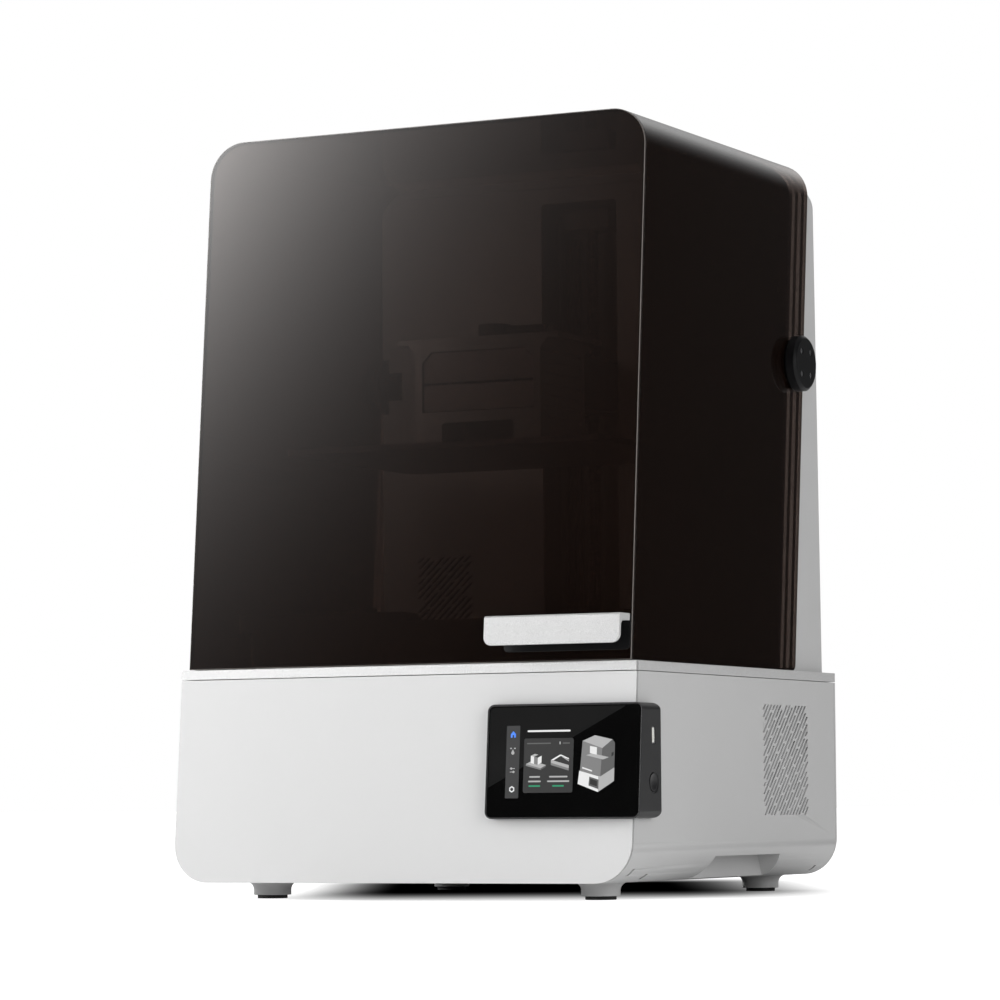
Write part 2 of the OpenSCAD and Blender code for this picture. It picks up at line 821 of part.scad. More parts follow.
module top_deck() color("silver") on_deck()
    difference() {
        rim_x = base_w / 2 - deck_rim;
        intersection() {
            block([-base_w / 2, base_w / 2], [-base_d, base_d], [-deck_h, 0]);
            along_x(-base_w, base_w)
                polygon([[-lean * deck_h, -deck_h], [0, 0], [base_d, 0], [base_d, -deck_h]]);
        }
        block([-rim_x, rim_x], [deck_rim, base_d - deck_rim], [-deck_h - over, -deck_t]);
        translate([0, 0, -deck_h]) linear_extrude(deck_h + over) lcd_outline(seat_gap);
        rod_z(-deck_h, over, 0, screw_y, journal_d + 12);
        both_sides() rod_z(-deck_h, over, knob_x, knob_y, stud_d + 2 * move_gap);
        both_sides() along_x(base_w / 2 - groove_depth, base_w / 2 + over)
            leaning([front_skin, wrap_front], [-deck_h - over, over]);
    }

module each_foot()
    for (x = [-foot_x, foot_x], y = [foot_front, base_d - foot_rear])
        translate([x, y, -base_h]) children();

module feet() color("silver") on_deck() each_foot()
    rotate_extrude() difference() {
        translate([0, -foot_h]) square([foot_d / 2 + foot_flare, foot_h]);
        translate([foot_d / 2 + foot_flare, -foot_flare]) circle(foot_flare);
        translate([foot_d / 2, -foot_h - over]) square([foot_flare + over, foot_h + over - foot_flare]);
    }

module foot_pads() color("black") on_deck() each_foot()
    translate([0, 0, -foot_h - pad_h]) cylinder(d = pad_d, h = pad_h);

// ---- screen module ----

// The screen module's outline, inset all round
module screen_inset(inset) {
    r = screen_r - inset;
    along_y(-base_d, base_d)
        rounded([screen_x + inset, screen_right - inset], [screen_low + inset, -screen_top - inset], r, r);
}

// A slice of the screen module between two depths behind the base's front plane
module screen_slice(inset, y)
    intersection() {
        screen_inset(inset);
        along_x(0, base_w) leaning(y, [screen_low, -screen_top]);
    }

module screen_housing() color("dimgray") on_deck()
    difference() {
        wall = [screen_right - 2 * screen_wall, screen_right + over];
        usb_y = usb_h / 2 + usb_shell + seat_gap;
        usb_half = usb_w / 2 + usb_shell + seat_gap;
        z = [screen_low, -screen_top];
        intersection() {
            screen_inset(0);
            along_x(0, base_w) upright([-screen_out, screen_back], z, screen_r);
        }
        intersection() {
            screen_inset(screen_wall);
            along_x(0, base_w) upright([-screen_out - over, screen_back - screen_wall], z);
        }
        screen_slice(glass_inset - seat_gap, [-screen_out - over, -screen_out + glass_t + seat_gap]);
        block(wall, [button_y - usb_y, button_y + usb_y], [-usb_z - usb_half, -usb_z + usb_half]);
        rod_x(wall[0], wall[1], button_y, -button_z, button_d + 2 * move_gap);
        rod_x(screen_right - screen_wall / 4, wall[1], button_y, -button_z, button_d + 2 * button_rim);
    }

module screen_glass() color("black") on_deck()
    screen_slice(glass_inset, [-screen_out, -screen_out + glass_t]);

module screen_board() color("darkgreen") on_deck() {
    y = -screen_out + glass_t + seat_gap;
    screen_slice(screen_wall + seat_gap, [y, y + board_t]);
}

module usb_port() color("silver") on_deck() {
    x = [screen_right - usb_l, screen_right - 0.4];
    y = usb_h / 2;
    z = usb_w / 2;
    tongue = 1.8;
    difference() {
        block(x, [button_y - y - usb_shell, button_y + y + usb_shell],
            [-usb_z - z - usb_shell, -usb_z + z + usb_shell]);
        block([x[0] + 2, x[1] + over], [button_y - y, button_y + y], [-usb_z - z, -usb_z + z]);
    }
    block([x[0] + 1, x[1] - 1], [button_y + y - 0.4 - tongue, button_y + y - 0.4],
        [-usb_z - z + 0.7, -usb_z + z - 0.7]);
}

module power_button() color("dimgray") on_deck() {
    dish = 24;
    face = screen_right - 0.2;
    inner = screen_right - screen_wall - move_gap;
    flange = button_travel;
    difference() {
        union() {
            rod_x(inner - flange, face, button_y, -button_z, button_d);
            rod_x(inner - flange, inner, button_y, -button_z, button_d + 2 * flange);
        }
        translate([face + dish - 1, button_y, -button_z]) sphere(dish);
    }
}

// ---- exposure unit ----

module exposure_lcd() color([0.1, 0.1, 0.12]) on_deck()
    translate([0, 0, -lcd_t]) linear_extrude(lcd_t) lcd_outline(0);

// A rectangle over the middle of the exposure screen that is larger all round by grow
module lcd_block(grow, z) {
    x = lcd_w / 2 + grow;
    y = lcd_d / 2 + grow;
    block([-x, x], [work_y - y, work_y + y], z);
}

module lcd_frame() color("darkgray") on_deck()
    difference() {
        union() {
            lcd_block(lcd_border, [-deck_t - lcd_t, -deck_t]);
            lcd_block(-lcd_ledge, [-deck_t - lcd_t, -lcd_t]);
        }
        lcd_block(-2 * lcd_ledge, [-deck_h - over, over]);
    }

module collimating_lens() color("lightblue") on_deck()
    lcd_block(0, [lens_z - lens_t, lens_z]);

// Two crossed trapezoids: the inside or outside of the light box
module light_taper(inset)
    intersection() {
        top = box_z + (inset > 0 ? over : 0);
        low = box_z - light_h - (inset > 0 ? over : 0);
        along_y(0, base_d) polygon([[-lamp_w / 2 + inset, low], [-lcd_w / 2 + inset, top],
            [lcd_w / 2 - inset, top], [lamp_w / 2 - inset, low]]);
        along_x(-base_w / 2, base_w / 2) translate([work_y, 0]) polygon([[-lamp_d / 2 + inset, low],
            [-lcd_d / 2 + inset, top], [lcd_d / 2 - inset, top], [lamp_d / 2 - inset, low]]);
    }

module light_box() color("dimgray") on_deck()
    difference() {
        light_taper(0);
        light_taper(light_wall);
    }

// A plate of the lamp board's size under the exposure screen
module lamp_block(z)
    block([-lamp_w / 2, lamp_w / 2], [work_y - lamp_d / 2, work_y + lamp_d / 2], z);

module lamp_board() color("white") on_deck() {
    dome = 4;
    columns = floor((lamp_w - 2 * light_wall - lamp_lens_d) / 2 / lamp_pitch);
    rows = floor((lamp_d - 2 * light_wall - lamp_lens_d) / 2 / lamp_pitch);
    lamp_block([lamp_z - lamp_t, lamp_z]);
    for (i = [-columns:columns], j = [-rows:rows])
        rod_z(lamp_z - lamp_t / 2, lamp_z + dome, i * lamp_pitch, work_y + j * lamp_pitch, lamp_lens_d);
}

module heat_sink() color("silver") on_deck() {
    plate = 5;
    fins = floor((lamp_w - fin_t) / 2 / fin_pitch);
    lamp_block([sink_z - plate, sink_z]);
    for (i = [-fins:fins])
        block([i * fin_pitch - fin_t / 2, i * fin_pitch + fin_t / 2],
            [work_y - lamp_d / 2, work_y + lamp_d / 2], [sink_z - sink_h, sink_z - plate / 2]);
}

// A square fan housing, standing on z = 0 with its struts below
module fan_housing(size, t) {
    corner = 4;
    screw = size / 2 - 4.25;
    difference() {
        linear_extrude(t) rounded([-size / 2, size / 2], [-size / 2, size / 2], corner, corner);
        translate([0, 0, -over]) cylinder(d = size - fan_rim, h = t + 2 * over);
        for (x = [-screw, screw], y = [-screw, screw])
            translate([x, y, -over]) cylinder(d = 4.3, h = t + 2 * over);
    }
    cylinder(d = size * fan_hub, h = fan_strut);
    for (turn = [45:90:315])
        rotate(turn) translate([0, -1.5, 0]) cube([size / 2 - 1, 3, fan_strut]);
}

// The wheel of that fan, over its struts
module fan_wheel(size, t) {
    low = fan_strut + 1;
    wheel = t - low - 1;
    hub = size * fan_hub / 2;
    blade_t = 1.4;
    translate([0, 0, low]) cylinder(r = hub, h = wheel);
    intersection() {
        translate([0, 0, low]) cylinder(d = size - fan_rim - 4 * move_gap, h = wheel);
        for (n = [1:fan_blades])
            rotate(n * 360 / fan_blades) translate([hub - 1.5, 0, low + wheel / 2]) rotate([40, 0, 0])
                translate([0, -wheel, -blade_t / 2]) cube([size / 2, 2 * wheel, blade_t]);
    }
}

module lamp_fan_frame() color([0.15, 0.15, 0.15]) on_deck()
    translate([0, work_y, lamp_fan_z - lamp_fan_t]) fan_housing(lamp_fan, lamp_fan_t);

module lamp_fan_rotor() color([0.2, 0.2, 0.2]) on_deck()
    translate([0, work_y, lamp_fan_z - lamp_fan_t]) fan_wheel(lamp_fan, lamp_fan_t);

// ---- electronics ----

// A row of equal chips or sockets on the mainboard, at these shares of its depth
module board_row(x, size, shares, h)
    for (y = shares)
        block([x, x + size[0]], [main_d * y, main_d * y + size[1]], [standoff_h, standoff_h + main_t + h]);

module mainboard() color("darkgreen") on_deck() translate([-base_w / 2 + main_x, main_y, floor_z]) {
    margin = 6;
    block([0, main_w], [0, main_d], [standoff_h, standoff_h + main_t]);
    for (x = [margin, main_w - margin], y = [margin, main_d - margin])
        rod_z(0, standoff_h, x, y, margin);
    board_row(main_w / 3, [chip_w, chip_w], [0.2, 0.45, 0.7], chip_t);
    board_row(main_w - socket_w - 4, [socket_w, chip_w], [0.12:0.15:0.85], socket_h);
}

module power_supply() color("lightgray") on_deck()
    difference() {
        x = [base_w / 2 - base_r - supply_w, base_w / 2 - base_r];
        y = [rear_y - supply_gap - supply_d, rear_y - supply_gap];
        top = floor_z + supply_h;
        slot = 4;
        pitch = supply_d / 9;
        block(x, y, [floor_z, top]);
        for (start = [y[0] + pitch / 2:pitch:y[1] - pitch / 2])
            block([x[0] + 3 * slot, x[1] - 3 * slot], [start, start + slot], [top - 2, top + over]);
    }

module power_inlet() color([0.12, 0.12, 0.12]) on_deck() {
    body_x = inlet_w / 2 - 1.5;
    body_z = inlet_h / 2 - 3;
    depth = 17;
    blade = [2, 12, 4];
    difference() {
        union() {
            along_y(rear_y, base_d) inlet_outline(0);
            block([inlet_x - body_x, inlet_x + body_x], [base_d - depth - 6, rear_y + over],
                [-inlet_z - body_z, -inlet_z + body_z]);
        }
        block([inlet_x - 12.1, inlet_x + 12.1], [base_d - depth, base_d + over],
            [socket_z - 8, socket_z + 8]);
        block([inlet_x - rocker_w / 2 - move_gap, inlet_x + rocker_w / 2 + move_gap],
            [base_d - depth, base_d + over], [rocker_z - 7.5, rocker_z + 7.5]);
    }
    for (pin = [[-7, -1.5], [7, -1.5], [0, 3]])
        translate([inlet_x + pin[0] - blade[0] / 2, base_d - depth - 1, socket_z + pin[1] - blade[2] / 2])
            cube(blade);
}

module power_switch() color("black") on_deck()
    along_x(inlet_x - rocker_w / 2, inlet_x + rocker_w / 2)
        translate([rocker_y, rocker_z]) rotate(-rocker_tilt) {
            circle(4.5);
            polygon([[0, -4.4], [6.2, -6.4], [4.4, 0], [6.2, 6.4], [0, 4.4]]);
        }

// A fan on the rear panel faces backwards
module behind_fan()
    translate([-rear_fan_x, rear_y - seat_gap - rear_fan_t, -rear_fan_z]) rotate([-90, 0, 0]) children();

module rear_fan_frame() color([0.15, 0.15, 0.15]) on_deck() behind_fan() fan_housing(rear_fan, rear_fan_t);

module rear_fan_rotor() color([0.2, 0.2, 0.2]) on_deck() behind_fan() fan_wheel(rear_fan, rear_fan_t);

// ---- Z axis ----

module z_column() color("silver") on_deck()
    block([-column_w / 2, column_w / 2], [column_face, column_face + column_t], [0, column_top]);

module z_rails() color("lightgray") on_deck() both_sides()
    difference() {
        block([rail_x - rail_w / 2, rail_x + rail_w / 2], [column_face - rail_h, column_face], rail_z);
        for (x = [rail_x - rail_w / 2, rail_x + rail_w / 2])
            rod_z(rail_z[0] - over, rail_z[1] + over, x, column_face - rail_h / 2, 3);
    }

module z_motor() color([0.15, 0.15, 0.16]) on_deck() translate([0, screw_y, motor_z]) difference() {
    union() {
        translate([0, 0, -motor_h]) linear_extrude(motor_h)
            rounded([-motor_w / 2, motor_w / 2], [-motor_w / 2, motor_w / 2], 6, 6);
        cylinder(d = pilot_d, h = 1.6);
    }
    translate([0, 0, -14]) cylinder(d = motor_shaft_d + 2 * move_gap, h = 20);
}

module motor_bracket() color("gray") on_deck() {
    wall = 4;
    flange = 14;
    inner = motor_w / 2 + seat_gap;
    y = [screw_y - motor_w / 2, screw_y + motor_w / 2];
    difference() {
        block([-inner, inner], y, [motor_z, motor_z + wall]);
        rod_z(motor_z - over, motor_z + wall + over, 0, screw_y, pilot_d + 2 * seat_gap);
    }
    both_sides() {
        block([inner, inner + wall], y, [motor_z, -deck_t]);
        block([inner, inner + flange], y, [-deck_t - wall, -deck_t]);
    }
}

module ball_screw() color("darkgray") on_deck() {
    rod_z(coupler_z - coupler_h / 2 + 1, column_top, 0, screw_y, journal_d);
    rod_z(block_h + 2, bearing_z - 2, 0, screw_y, screw_d);
}

// The coupler, with the motor's shaft in its lower bore
module shaft_coupler() color("silver") on_deck() {
    middle = coupler_z - coupler_h / 2;
    difference() {
        rod_z(coupler_z - coupler_h, coupler_z, 0, screw_y, coupler_d);
        rod_z(middle, coupler_z + over, 0, screw_y, journal_d + 2 * pin_fit);
        rod_z(coupler_z - coupler_h - over, middle - 1, 0, screw_y, motor_shaft_d + 2 * pin_fit);
    }
    rod_z(motor_z - 12, middle - 1.5, 0, screw_y, motor_shaft_d);
}

// A bearing block that holds one journal of the screw
module bearing_block(z) difference() {
    block([-block_w / 2, block_w / 2], [bearing_front, column_face], [z, z + block_h]);
    rod_z(z - over, z + block_h + over, 0, screw_y, journal_d + 2 * pin_fit);
}

module upper_bearing() color("silver") on_deck() bearing_block(bearing_z);

module lower_bearing() color("silver") on_deck() bearing_block(0);

module carriage() color("dimgray") on_deck() difference() {
    x = rail_x + carriage_side;
    block([-x, x], [carriage_y, carriage_y + carriage_d], [carriage_z, carriage_z + arm_h]);
    rod_z(carriage_z - over, carriage_z + arm_h + over, 0, screw_y, nut_d + 2 * pin_fit);
}

module slider_blocks() color("silver") on_deck() both_sides() difference() {
    half = slider_w / 2;
    groove = rail_w / 2 + move_gap;
    block([rail_x - half, rail_x + half], [carriage_y + carriage_d, column_face - 2],
        [carriage_z + 1, carriage_z + arm_h - 1]);
    block([rail_x - groove, rail_x + groove], [column_face - rail_h - move_gap, column_face],
        [carriage_z, carriage_z + arm_h]);
}

module ball_nut() color("gray") on_deck() difference() {
    rod_z(carriage_z + (arm_h - nut_h) / 2, carriage_z + (arm_h + nut_h) / 2, 0, screw_y, nut_d);
    rod_z(carriage_z, carriage_z + arm_h, 0, screw_y, screw_d + 2 * pin_fit);
}

module platform_arm() color("dimgray") on_deck() {
    wall = 6;
    x = arm_w / 2;
    tongue_x = tongue_w / 2;
    difference() {
        block([-x, x], [bracket_rear + move_gap, carriage_y], [carriage_z, carriage_z + arm_h]);
        block([-x + wall, x - wall], [bracket_rear + wall, carriage_y - wall],
            [carriage_z - over, carriage_z + arm_h - wall]);
    }
    block([-tongue_x, tongue_x], [bracket_rear - tongue_l, bracket_rear + wall / 2],
        [tongue_z, tongue_z + tongue_h]);
}

// ---- platform ----

// The tongue's socket, grown by a wall or a gap
module tongue_socket(grow, y) {
    x = tongue_w / 2 + grow;
    block([-x, x], y, [tongue_z - grow, tongue_z + tongue_h + grow]);
}

module platform_bracket() color("dimgray") on_deck() {
    half = bracket_w / 2;
    top_x = bracket_top_w / 2;
    under_top = bracket_top - bracket_top_t;
    inside = [bracket_y + bracket_t, bracket_rear - bracket_t];
    front_wall = [bracket_y - over, inside[0] + over];
    corner = opening_top - opening_corner;
    difference() {
        union() {
            block([-top_x, top_x], [bracket_y, bracket_rear], [under_top, bracket_top]);
            along_y(bracket_y, bracket_rear) polygon([[-half - gusset, under_top + over],
                [-half, under_top - gusset], [half, under_top - gusset], [half + gusset, under_top + over]]);
            block([-half, half], [bracket_y, bracket_rear], [bracket_z, under_top]);
        }
        block([-opening_x, opening_x], inside, [bracket_z + bracket_foot, under_top]);
        along_y(front_wall[0], front_wall[1]) polygon([[-opening_x, opening_z], [opening_x, opening_z],
            [opening_x, corner], [opening_x - opening_corner, opening_top],
            [-opening_x + opening_corner, opening_top], [-opening_x, corner]]);
        along_y(front_wall[0], front_wall[1])
            rounded([-arch_x, arch_x], [bracket_z + bracket_foot, bracket_z + arch_h], 0, 3);
        tongue_socket(move_gap, [inside[1] - over, bracket_rear + over]);
        for (n = [0:groove_count - 1]) both_sides()
            translate([half - groove_t, bracket_y + groove_end, opening_z - groove_start + n * groove_pitch])
                cube([groove_t + over, bracket_d - 2 * groove_end, groove_h]);
        rod_z(under_top - over, bracket_top + over, 0, lever_y, lever_stud_d + 2 * pin_fit);
    }
    difference() {
        tongue_socket(move_gap + socket_t, [clamp_y + clamp_t, bracket_rear - bracket_t / 2]);
        tongue_socket(move_gap, [0, base_d]);
    }
}

// Two plates in the bracket's front opening, lower and upper
module clamp_plates() color("gray") on_deck() along_y(clamp_y, clamp_y + clamp_t - seat_gap) {
    half = opening_x - clamp_gap;
    low = [opening_z + clamp_gap, opening_z + clamp_gap + clamp_low_h];
    high = [low[1] + clamp_split, opening_top - clamp_gap];
    corner = opening_corner - clamp_gap / 2;
    rounded([-half, half], low, clamp_split, clamp_split / 2);
    polygon([[-half, high[0]], [half, high[0]], [half, high[1] - corner],
        [half - corner, high[1]], [corner - half, high[1]], [-half, high[1] - corner]]);
}

module build_plate() color("gray") on_deck()
    translate([0, work_y, plate_z]) linear_extrude(plate_t)
        rounded([-plate_w / 2, plate_w / 2], [-plate_d / 2, plate_d / 2], plate_r, plate_r);

module platform_bolts() color("silver") on_deck() {
    head = 9;
    x = opening_x - head;
    z = bracket_z + bracket_foot;
    for (side = [-x, x], y = [bracket_y + bracket_t + head, bracket_rear - bracket_t - head])
        difference() {
            rod_z(z, z + 6, side, y, head);
            translate([side, y, z + 3]) cylinder(d = 5, h = 4, $fn = 6);
        }
}

module release_lever() color([0.2, 0.2, 0.2]) on_deck() translate([0, lever_y, bracket_top]) {
    lift = 0.3;
    stud = bracket_top_t + 2;
    translate([0, 0, lift]) cylinder(d = lever_d, h = lever_h - lift);
    translate([0, 0, -stud]) cylinder(d = lever_stud_d, h = stud + 1);
    translate([0, 0, lever_h - 9]) linear_extrude(7)
        polygon([[0, -8], [lever_l, -4], [lever_l, 4], [0, 8]]);
}

// ---- vat ----

// The vat's walls between two heights
module vat_ring(z, rim, inset) translate([0, work_y, z[0]]) linear_extrude(z[1] - z[0]) difference() {
    x = vat_w / 2 + rim - inset;
    rounded([-x, x], [-vat_d / 2 + inset, vat_d / 2 - inset], vat_r - inset, vat_r - inset);
    rounded([-vat_open_w / 2, vat_open_w / 2], [-vat_open_d / 2, vat_open_d / 2], cut_r, cut_r);
}

module vat_body() color([0.22, 0.22, 0.22]) on_deck() difference() {
    front = work_y - vat_open_d / 2 + over;
    union() {
        vat_ring([body_z, vat_h], 0, 0);
        vat_ring([vat_h - vat_rim_t, vat_top], vat_rim, 0);
    }
    along_y(0, front) polygon([[raise_x, vat_h], [raise_x - vat_raise, vat_top + over],
        [base_w, vat_top + over], [base_w, vat_h]]);
    along_x(vat_open_w / 2 - over, base_w) polygon([[raise_y, vat_h], [raise_y + vat_raise, vat_top + over],
        [0, vat_top + over], [0, vat_h]]);
    both_sides() rod_z(0, vat_top + over, knob_x, knob_y, stud_d + 2 * move_gap);
}

module film_frame() color("silver") on_deck() vat_ring([vat_gap, film_z], 0, film_inset);

module vat_film() color([0.8, 0.85, 0.9, 0.5]) on_deck()
    translate([0, work_y, film_z]) linear_extrude(film_t) {
        x = vat_open_w / 2 + film_lap;
        y = vat_open_d / 2 + film_lap;
        rounded([-x, x], [-y, y], cut_r, cut_r);
    }

// A captive thumb screw on the vat's rim
module vat_knob() {
    rod_z(vat_top + move_gap, vat_top + knob_h, knob_x, knob_y, knob_d);
    rod_z(-deck_t - 2, vat_top + 2, knob_x, knob_y, stud_d);
}

module vat_knob_left() color([0.15, 0.15, 0.15]) on_deck() mirror([1, 0, 0]) vat_knob();

module vat_knob_right() color([0.15, 0.15, 0.15]) on_deck() vat_knob();

module heater_bracket() color([0.12, 0.12, 0.12]) on_deck() {
    y = [tower_y - heater_d, tower_y - seat_gap];
    low = heater_low_w / 2;
    high = heater_w / 2;
    rim = 3;
    difference() {
        along_y(y[0], y[1]) translate([heater_x, heater_z])
            polygon([[-low, 0], [low, 0], [high, heater_h], [-high, heater_h]]);
        along_y(y[0] - over, y[1] - rim) translate([heater_x, heater_z]) polygon([[-low + rim, rim],
            [low - rim, rim], [high - 2 * rim, heater_h - rim], [-high + 2 * rim, heater_h - rim]]);
    }
    for (x = [-4, 0, 4])
        rod_y(y[0] + 1, y[1] - 1, heater_x + low + x, heater_z + heater_h / 2 + 2, 2.4);
    rod_y(y[0] + 1, y[1] - 1, heater_x + low, heater_z + 10, 15);
}

// ---- tower ----

// Hollow in the tower for the hinge flange and barrel
module hinge_seat(grow) both_sides() {
    rod_x(tower_w / 2 - flange_t - grow, tower_w / 2 + grow * 2, hinge_y, hinge_z, flange_d + 2 * grow);
    rod_x(barrel_x - grow, tower_w / 2, hinge_y, hinge_z, barrel_d + 2 * grow);
}

module tower_outline(inset, foot)
    rounded([-tower_w / 2 + inset, tower_w / 2 - inset], [foot, tower_h - inset], 0, tower_r - inset);

// The tower's side outline, inset from the top and the back
module tower_side(inset, foot) {
    back = tower_y + tower_d - inset;
    top = tower_h - inset;
    polygon(rounded_path([[tower_y, foot], [tower_y, top], [back - tower_run * top, top],
        [back - tower_run * foot, foot]], [0, 0, tower_rear_r - inset, 0]));
}

module tower_panel() color("lightgray") on_deck() difference() {
    along_y(tower_y, tower_y + panel_t) tower_outline(0, 0);
    along_y(tower_y - over, tower_y + panel_t + over)
        rounded([-slot_w / 2, slot_w / 2], [slot_low, tower_h - slot_top], 2, 4);
    along_y(tower_y - over, tower_y + panel_t + over)
        translate([tower_vent_x, tower_vent_z]) vent_2d(tower_vent_w, tower_vent_h);
    hinge_seat(seat_gap);
}

module tower_shell() color("lightgray") on_deck() difference() {
    intersection() {
        along_y(tower_y + panel_t + seat_gap, base_d) tower_outline(0, 0);
        along_x(-tower_w / 2, tower_w / 2) tower_side(0, 0);
    }
    intersection() {
        along_y(0, base_d) tower_outline(shell_t, -over);
        along_x(-tower_w / 2, tower_w / 2) tower_side(shell_t, -over);
    }
    hinge_seat(seat_gap);
}

// Filter cartridge behind the tower's vent
module carbon_filter() color([0.2, 0.2, 0.2]) on_deck() {
    y = [tower_y + panel_t + seat_gap, tower_y + panel_t + filter_t];
    x = [tower_vent_x, tower_vent_x + tower_vent_w];
    z = [tower_vent_z, tower_vent_z + tower_vent_h];
    outer_x = [x[0] - filter_rim, x[1] + filter_rim];
    difference() {
        block(outer_x, y, [z[0] - filter_rim, z[1] + filter_rim]);
        block(x, [y[0] - over, y[0] + 2], z);
    }
    for (rib = [outer_x[0] + filter_cell:filter_cell:x[1]])
        block([rib, rib + 1.2], [y[0], y[0] + filter_rim], [z[0] - filter_rim / 2, z[1] + filter_rim / 2]);
}

module hinge_barrels() color("black") on_deck() difference() {
    hinge_seat(0);
    both_sides() rod_x(barrel_x - over, tower_w / 2 + over, hinge_y, hinge_z, pin_d + 2 * pin_fit);
}

module hinge_pins() color("silver") on_deck() both_sides()
    rod_x(barrel_x, cap_bore_end - 1, hinge_y, hinge_z, pin_d);

// ---- cover ----

module cover_front() color([0.2, 0.14, 0.12, 0.6]) on_deck() intersection() {
    along_y(-base_d, base_d) cover_outline(0, cover_gap);
    along_x(-cover_w, cover_w) leaning([cover_setback, cover_setback + cover_t], [0, cover_h]);
}

// The side outline of the cover's wrap
module cover_side_2d() {
    front = cover_setback + cover_t;
    rear = cover_setback + cover_d;
    polygon(rounded_path([[front + lean * cover_gap, cover_gap], [front + lean * cover_h, cover_h],
        [rear + cover_rear_run * cover_h, cover_h], [rear + cover_rear_run * cover_gap, cover_gap]],
        [0, 0, 0, cover_rear_r]));
}

module cover_wrap() color([0.16, 0.11, 0.1, 0.6]) on_deck() difference() {
    intersection() {
        along_y(0, base_d) cover_outline(0, 0);
        along_x(-cover_w, cover_w) cover_side_2d();
    }
    along_y(-over, base_d + over) cover_outline(cover_t, -over);
    both_sides() rod_x(0, cover_w, hinge_y, hinge_z, neck_d + 2 * seat_gap);
}

module cover_handle() color("silver") on_deck() intersection() {
    z = [handle_z, handle_z + handle_h];
    front = cover_setback - handle_out;
    rear = cover_setback - backing_t;
    fillet = 3;
    bevel = 1.5;
    leg = z[1] - handle_leg;
    inner = front + handle_t;
    along_x(handle_x, handle_x + handle_w) polygon([
        [front + lean * z[0], z[0]], [front + lean * (z[1] - bevel), z[1] - bevel],
        [front + lean * z[1] + bevel, z[1]], [rear + lean * z[1], z[1]], [rear + lean * leg, leg],
        [inner + lean * leg + fillet, leg], [inner + lean * (leg - fillet), leg - fillet],
        [inner + lean * z[0], z[0]]]);
    along_y(-base_d, base_d) rounded([handle_x, handle_x + handle_w], z, handle_r, cover_gap);
}

module handle_backing() color("black") on_deck() intersection() {
    skin = 0.05;
    top = handle_z + handle_h;
    along_y(-base_d, base_d)
        rounded([handle_x + backing_inset, handle_x + handle_w + 0.5], [backing_z, top], 4, 2);
    along_x(0, cover_w) leaning([cover_setback - backing_t + skin, cover_setback - skin], [0, top]);
}

// The outer cap of the cover's hinge, with its neck through the cover
module hinge_cap() difference() {
    union() {
        rod_x(cover_x + cap_chamfer, cap_face - cap_chamfer, hinge_y, hinge_z, cap_d);
        for (end = [[cover_x, 0], [cap_face - cap_chamfer, cap_chamfer]])
            translate([end[0], hinge_y, hinge_z]) rotate([0, 90, 0])
                cylinder(d1 = cap_d - 2 * (cap_chamfer - end[1]), d2 = cap_d - 2 * end[1], h = cap_chamfer);
        rod_x(cover_x - cover_t, cover_x + over, hinge_y, hinge_z, neck_d);
    }
    rod_x(0, cap_bore_end, hinge_y, hinge_z, pin_d + 2 * pin_fit);
    cap_screw_place() rod_x(cap_face - 2, cap_face + over, 0, 0, cap_screw_d + 2 * seat_gap);
}

module cap_screw_place()
    for (turn = [45:90:315])
        translate([0, hinge_y + cap_screw_ring * cos(turn), hinge_z + cap_screw_ring * sin(turn)]) children();

module hinge_cap_left() color([0.13, 0.13, 0.13]) on_deck() mirror([1, 0, 0]) hinge_cap();

module hinge_cap_right() color([0.13, 0.13, 0.13]) on_deck() hinge_cap();

module cap_screws() color("gray") on_deck() both_sides() cap_screw_place() difference() {
    rod_x(cap_face - 2, cap_face - 0.6, 0, 0, cap_screw_d);
    translate([cap_face - 1.4, 0, 0]) rotate([0, 90, 0]) cylinder(d = 2.6, h = 2, $fn = 6);
}

base_wrap();
front_panel();
rear_panel();
top_deck();
feet();
foot_pads();
screen_housing();
screen_glass();
screen_board();
usb_port();
power_button();
exposure_lcd();
lcd_frame();
collimating_lens();
light_box();
lamp_board();
heat_sink();
lamp_fan_frame();
lamp_fan_rotor();
mainboard();
power_supply();
power_inlet();
power_switch();
rear_fan_frame();
rear_fan_rotor();
z_column();
z_rails();
z_motor();
motor_bracket();
ball_screw();
shaft_coupler();
upper_bearing();
lower_bearing();
carriage();
slider_blocks();
ball_nut();
platform_arm();
platform_bracket();
clamp_plates();
build_plate();
platform_bolts();
release_lever();
vat_body();
film_frame();
vat_film();
vat_knob_left();
vat_knob_right();
heater_bracket();
tower_panel();
tower_shell();
carbon_filter();
hinge_barrels();
hinge_pins();
cover_front();
cover_wrap();
cover_handle();
handle_backing();
hinge_cap_left();
hinge_cap_right();
cap_screws();
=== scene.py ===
"""Looks of the resin printer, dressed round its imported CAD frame. Units are metres, +Z is up."""
import json
import math

import bmesh
import bpy
from mathutils import Matrix, Vector


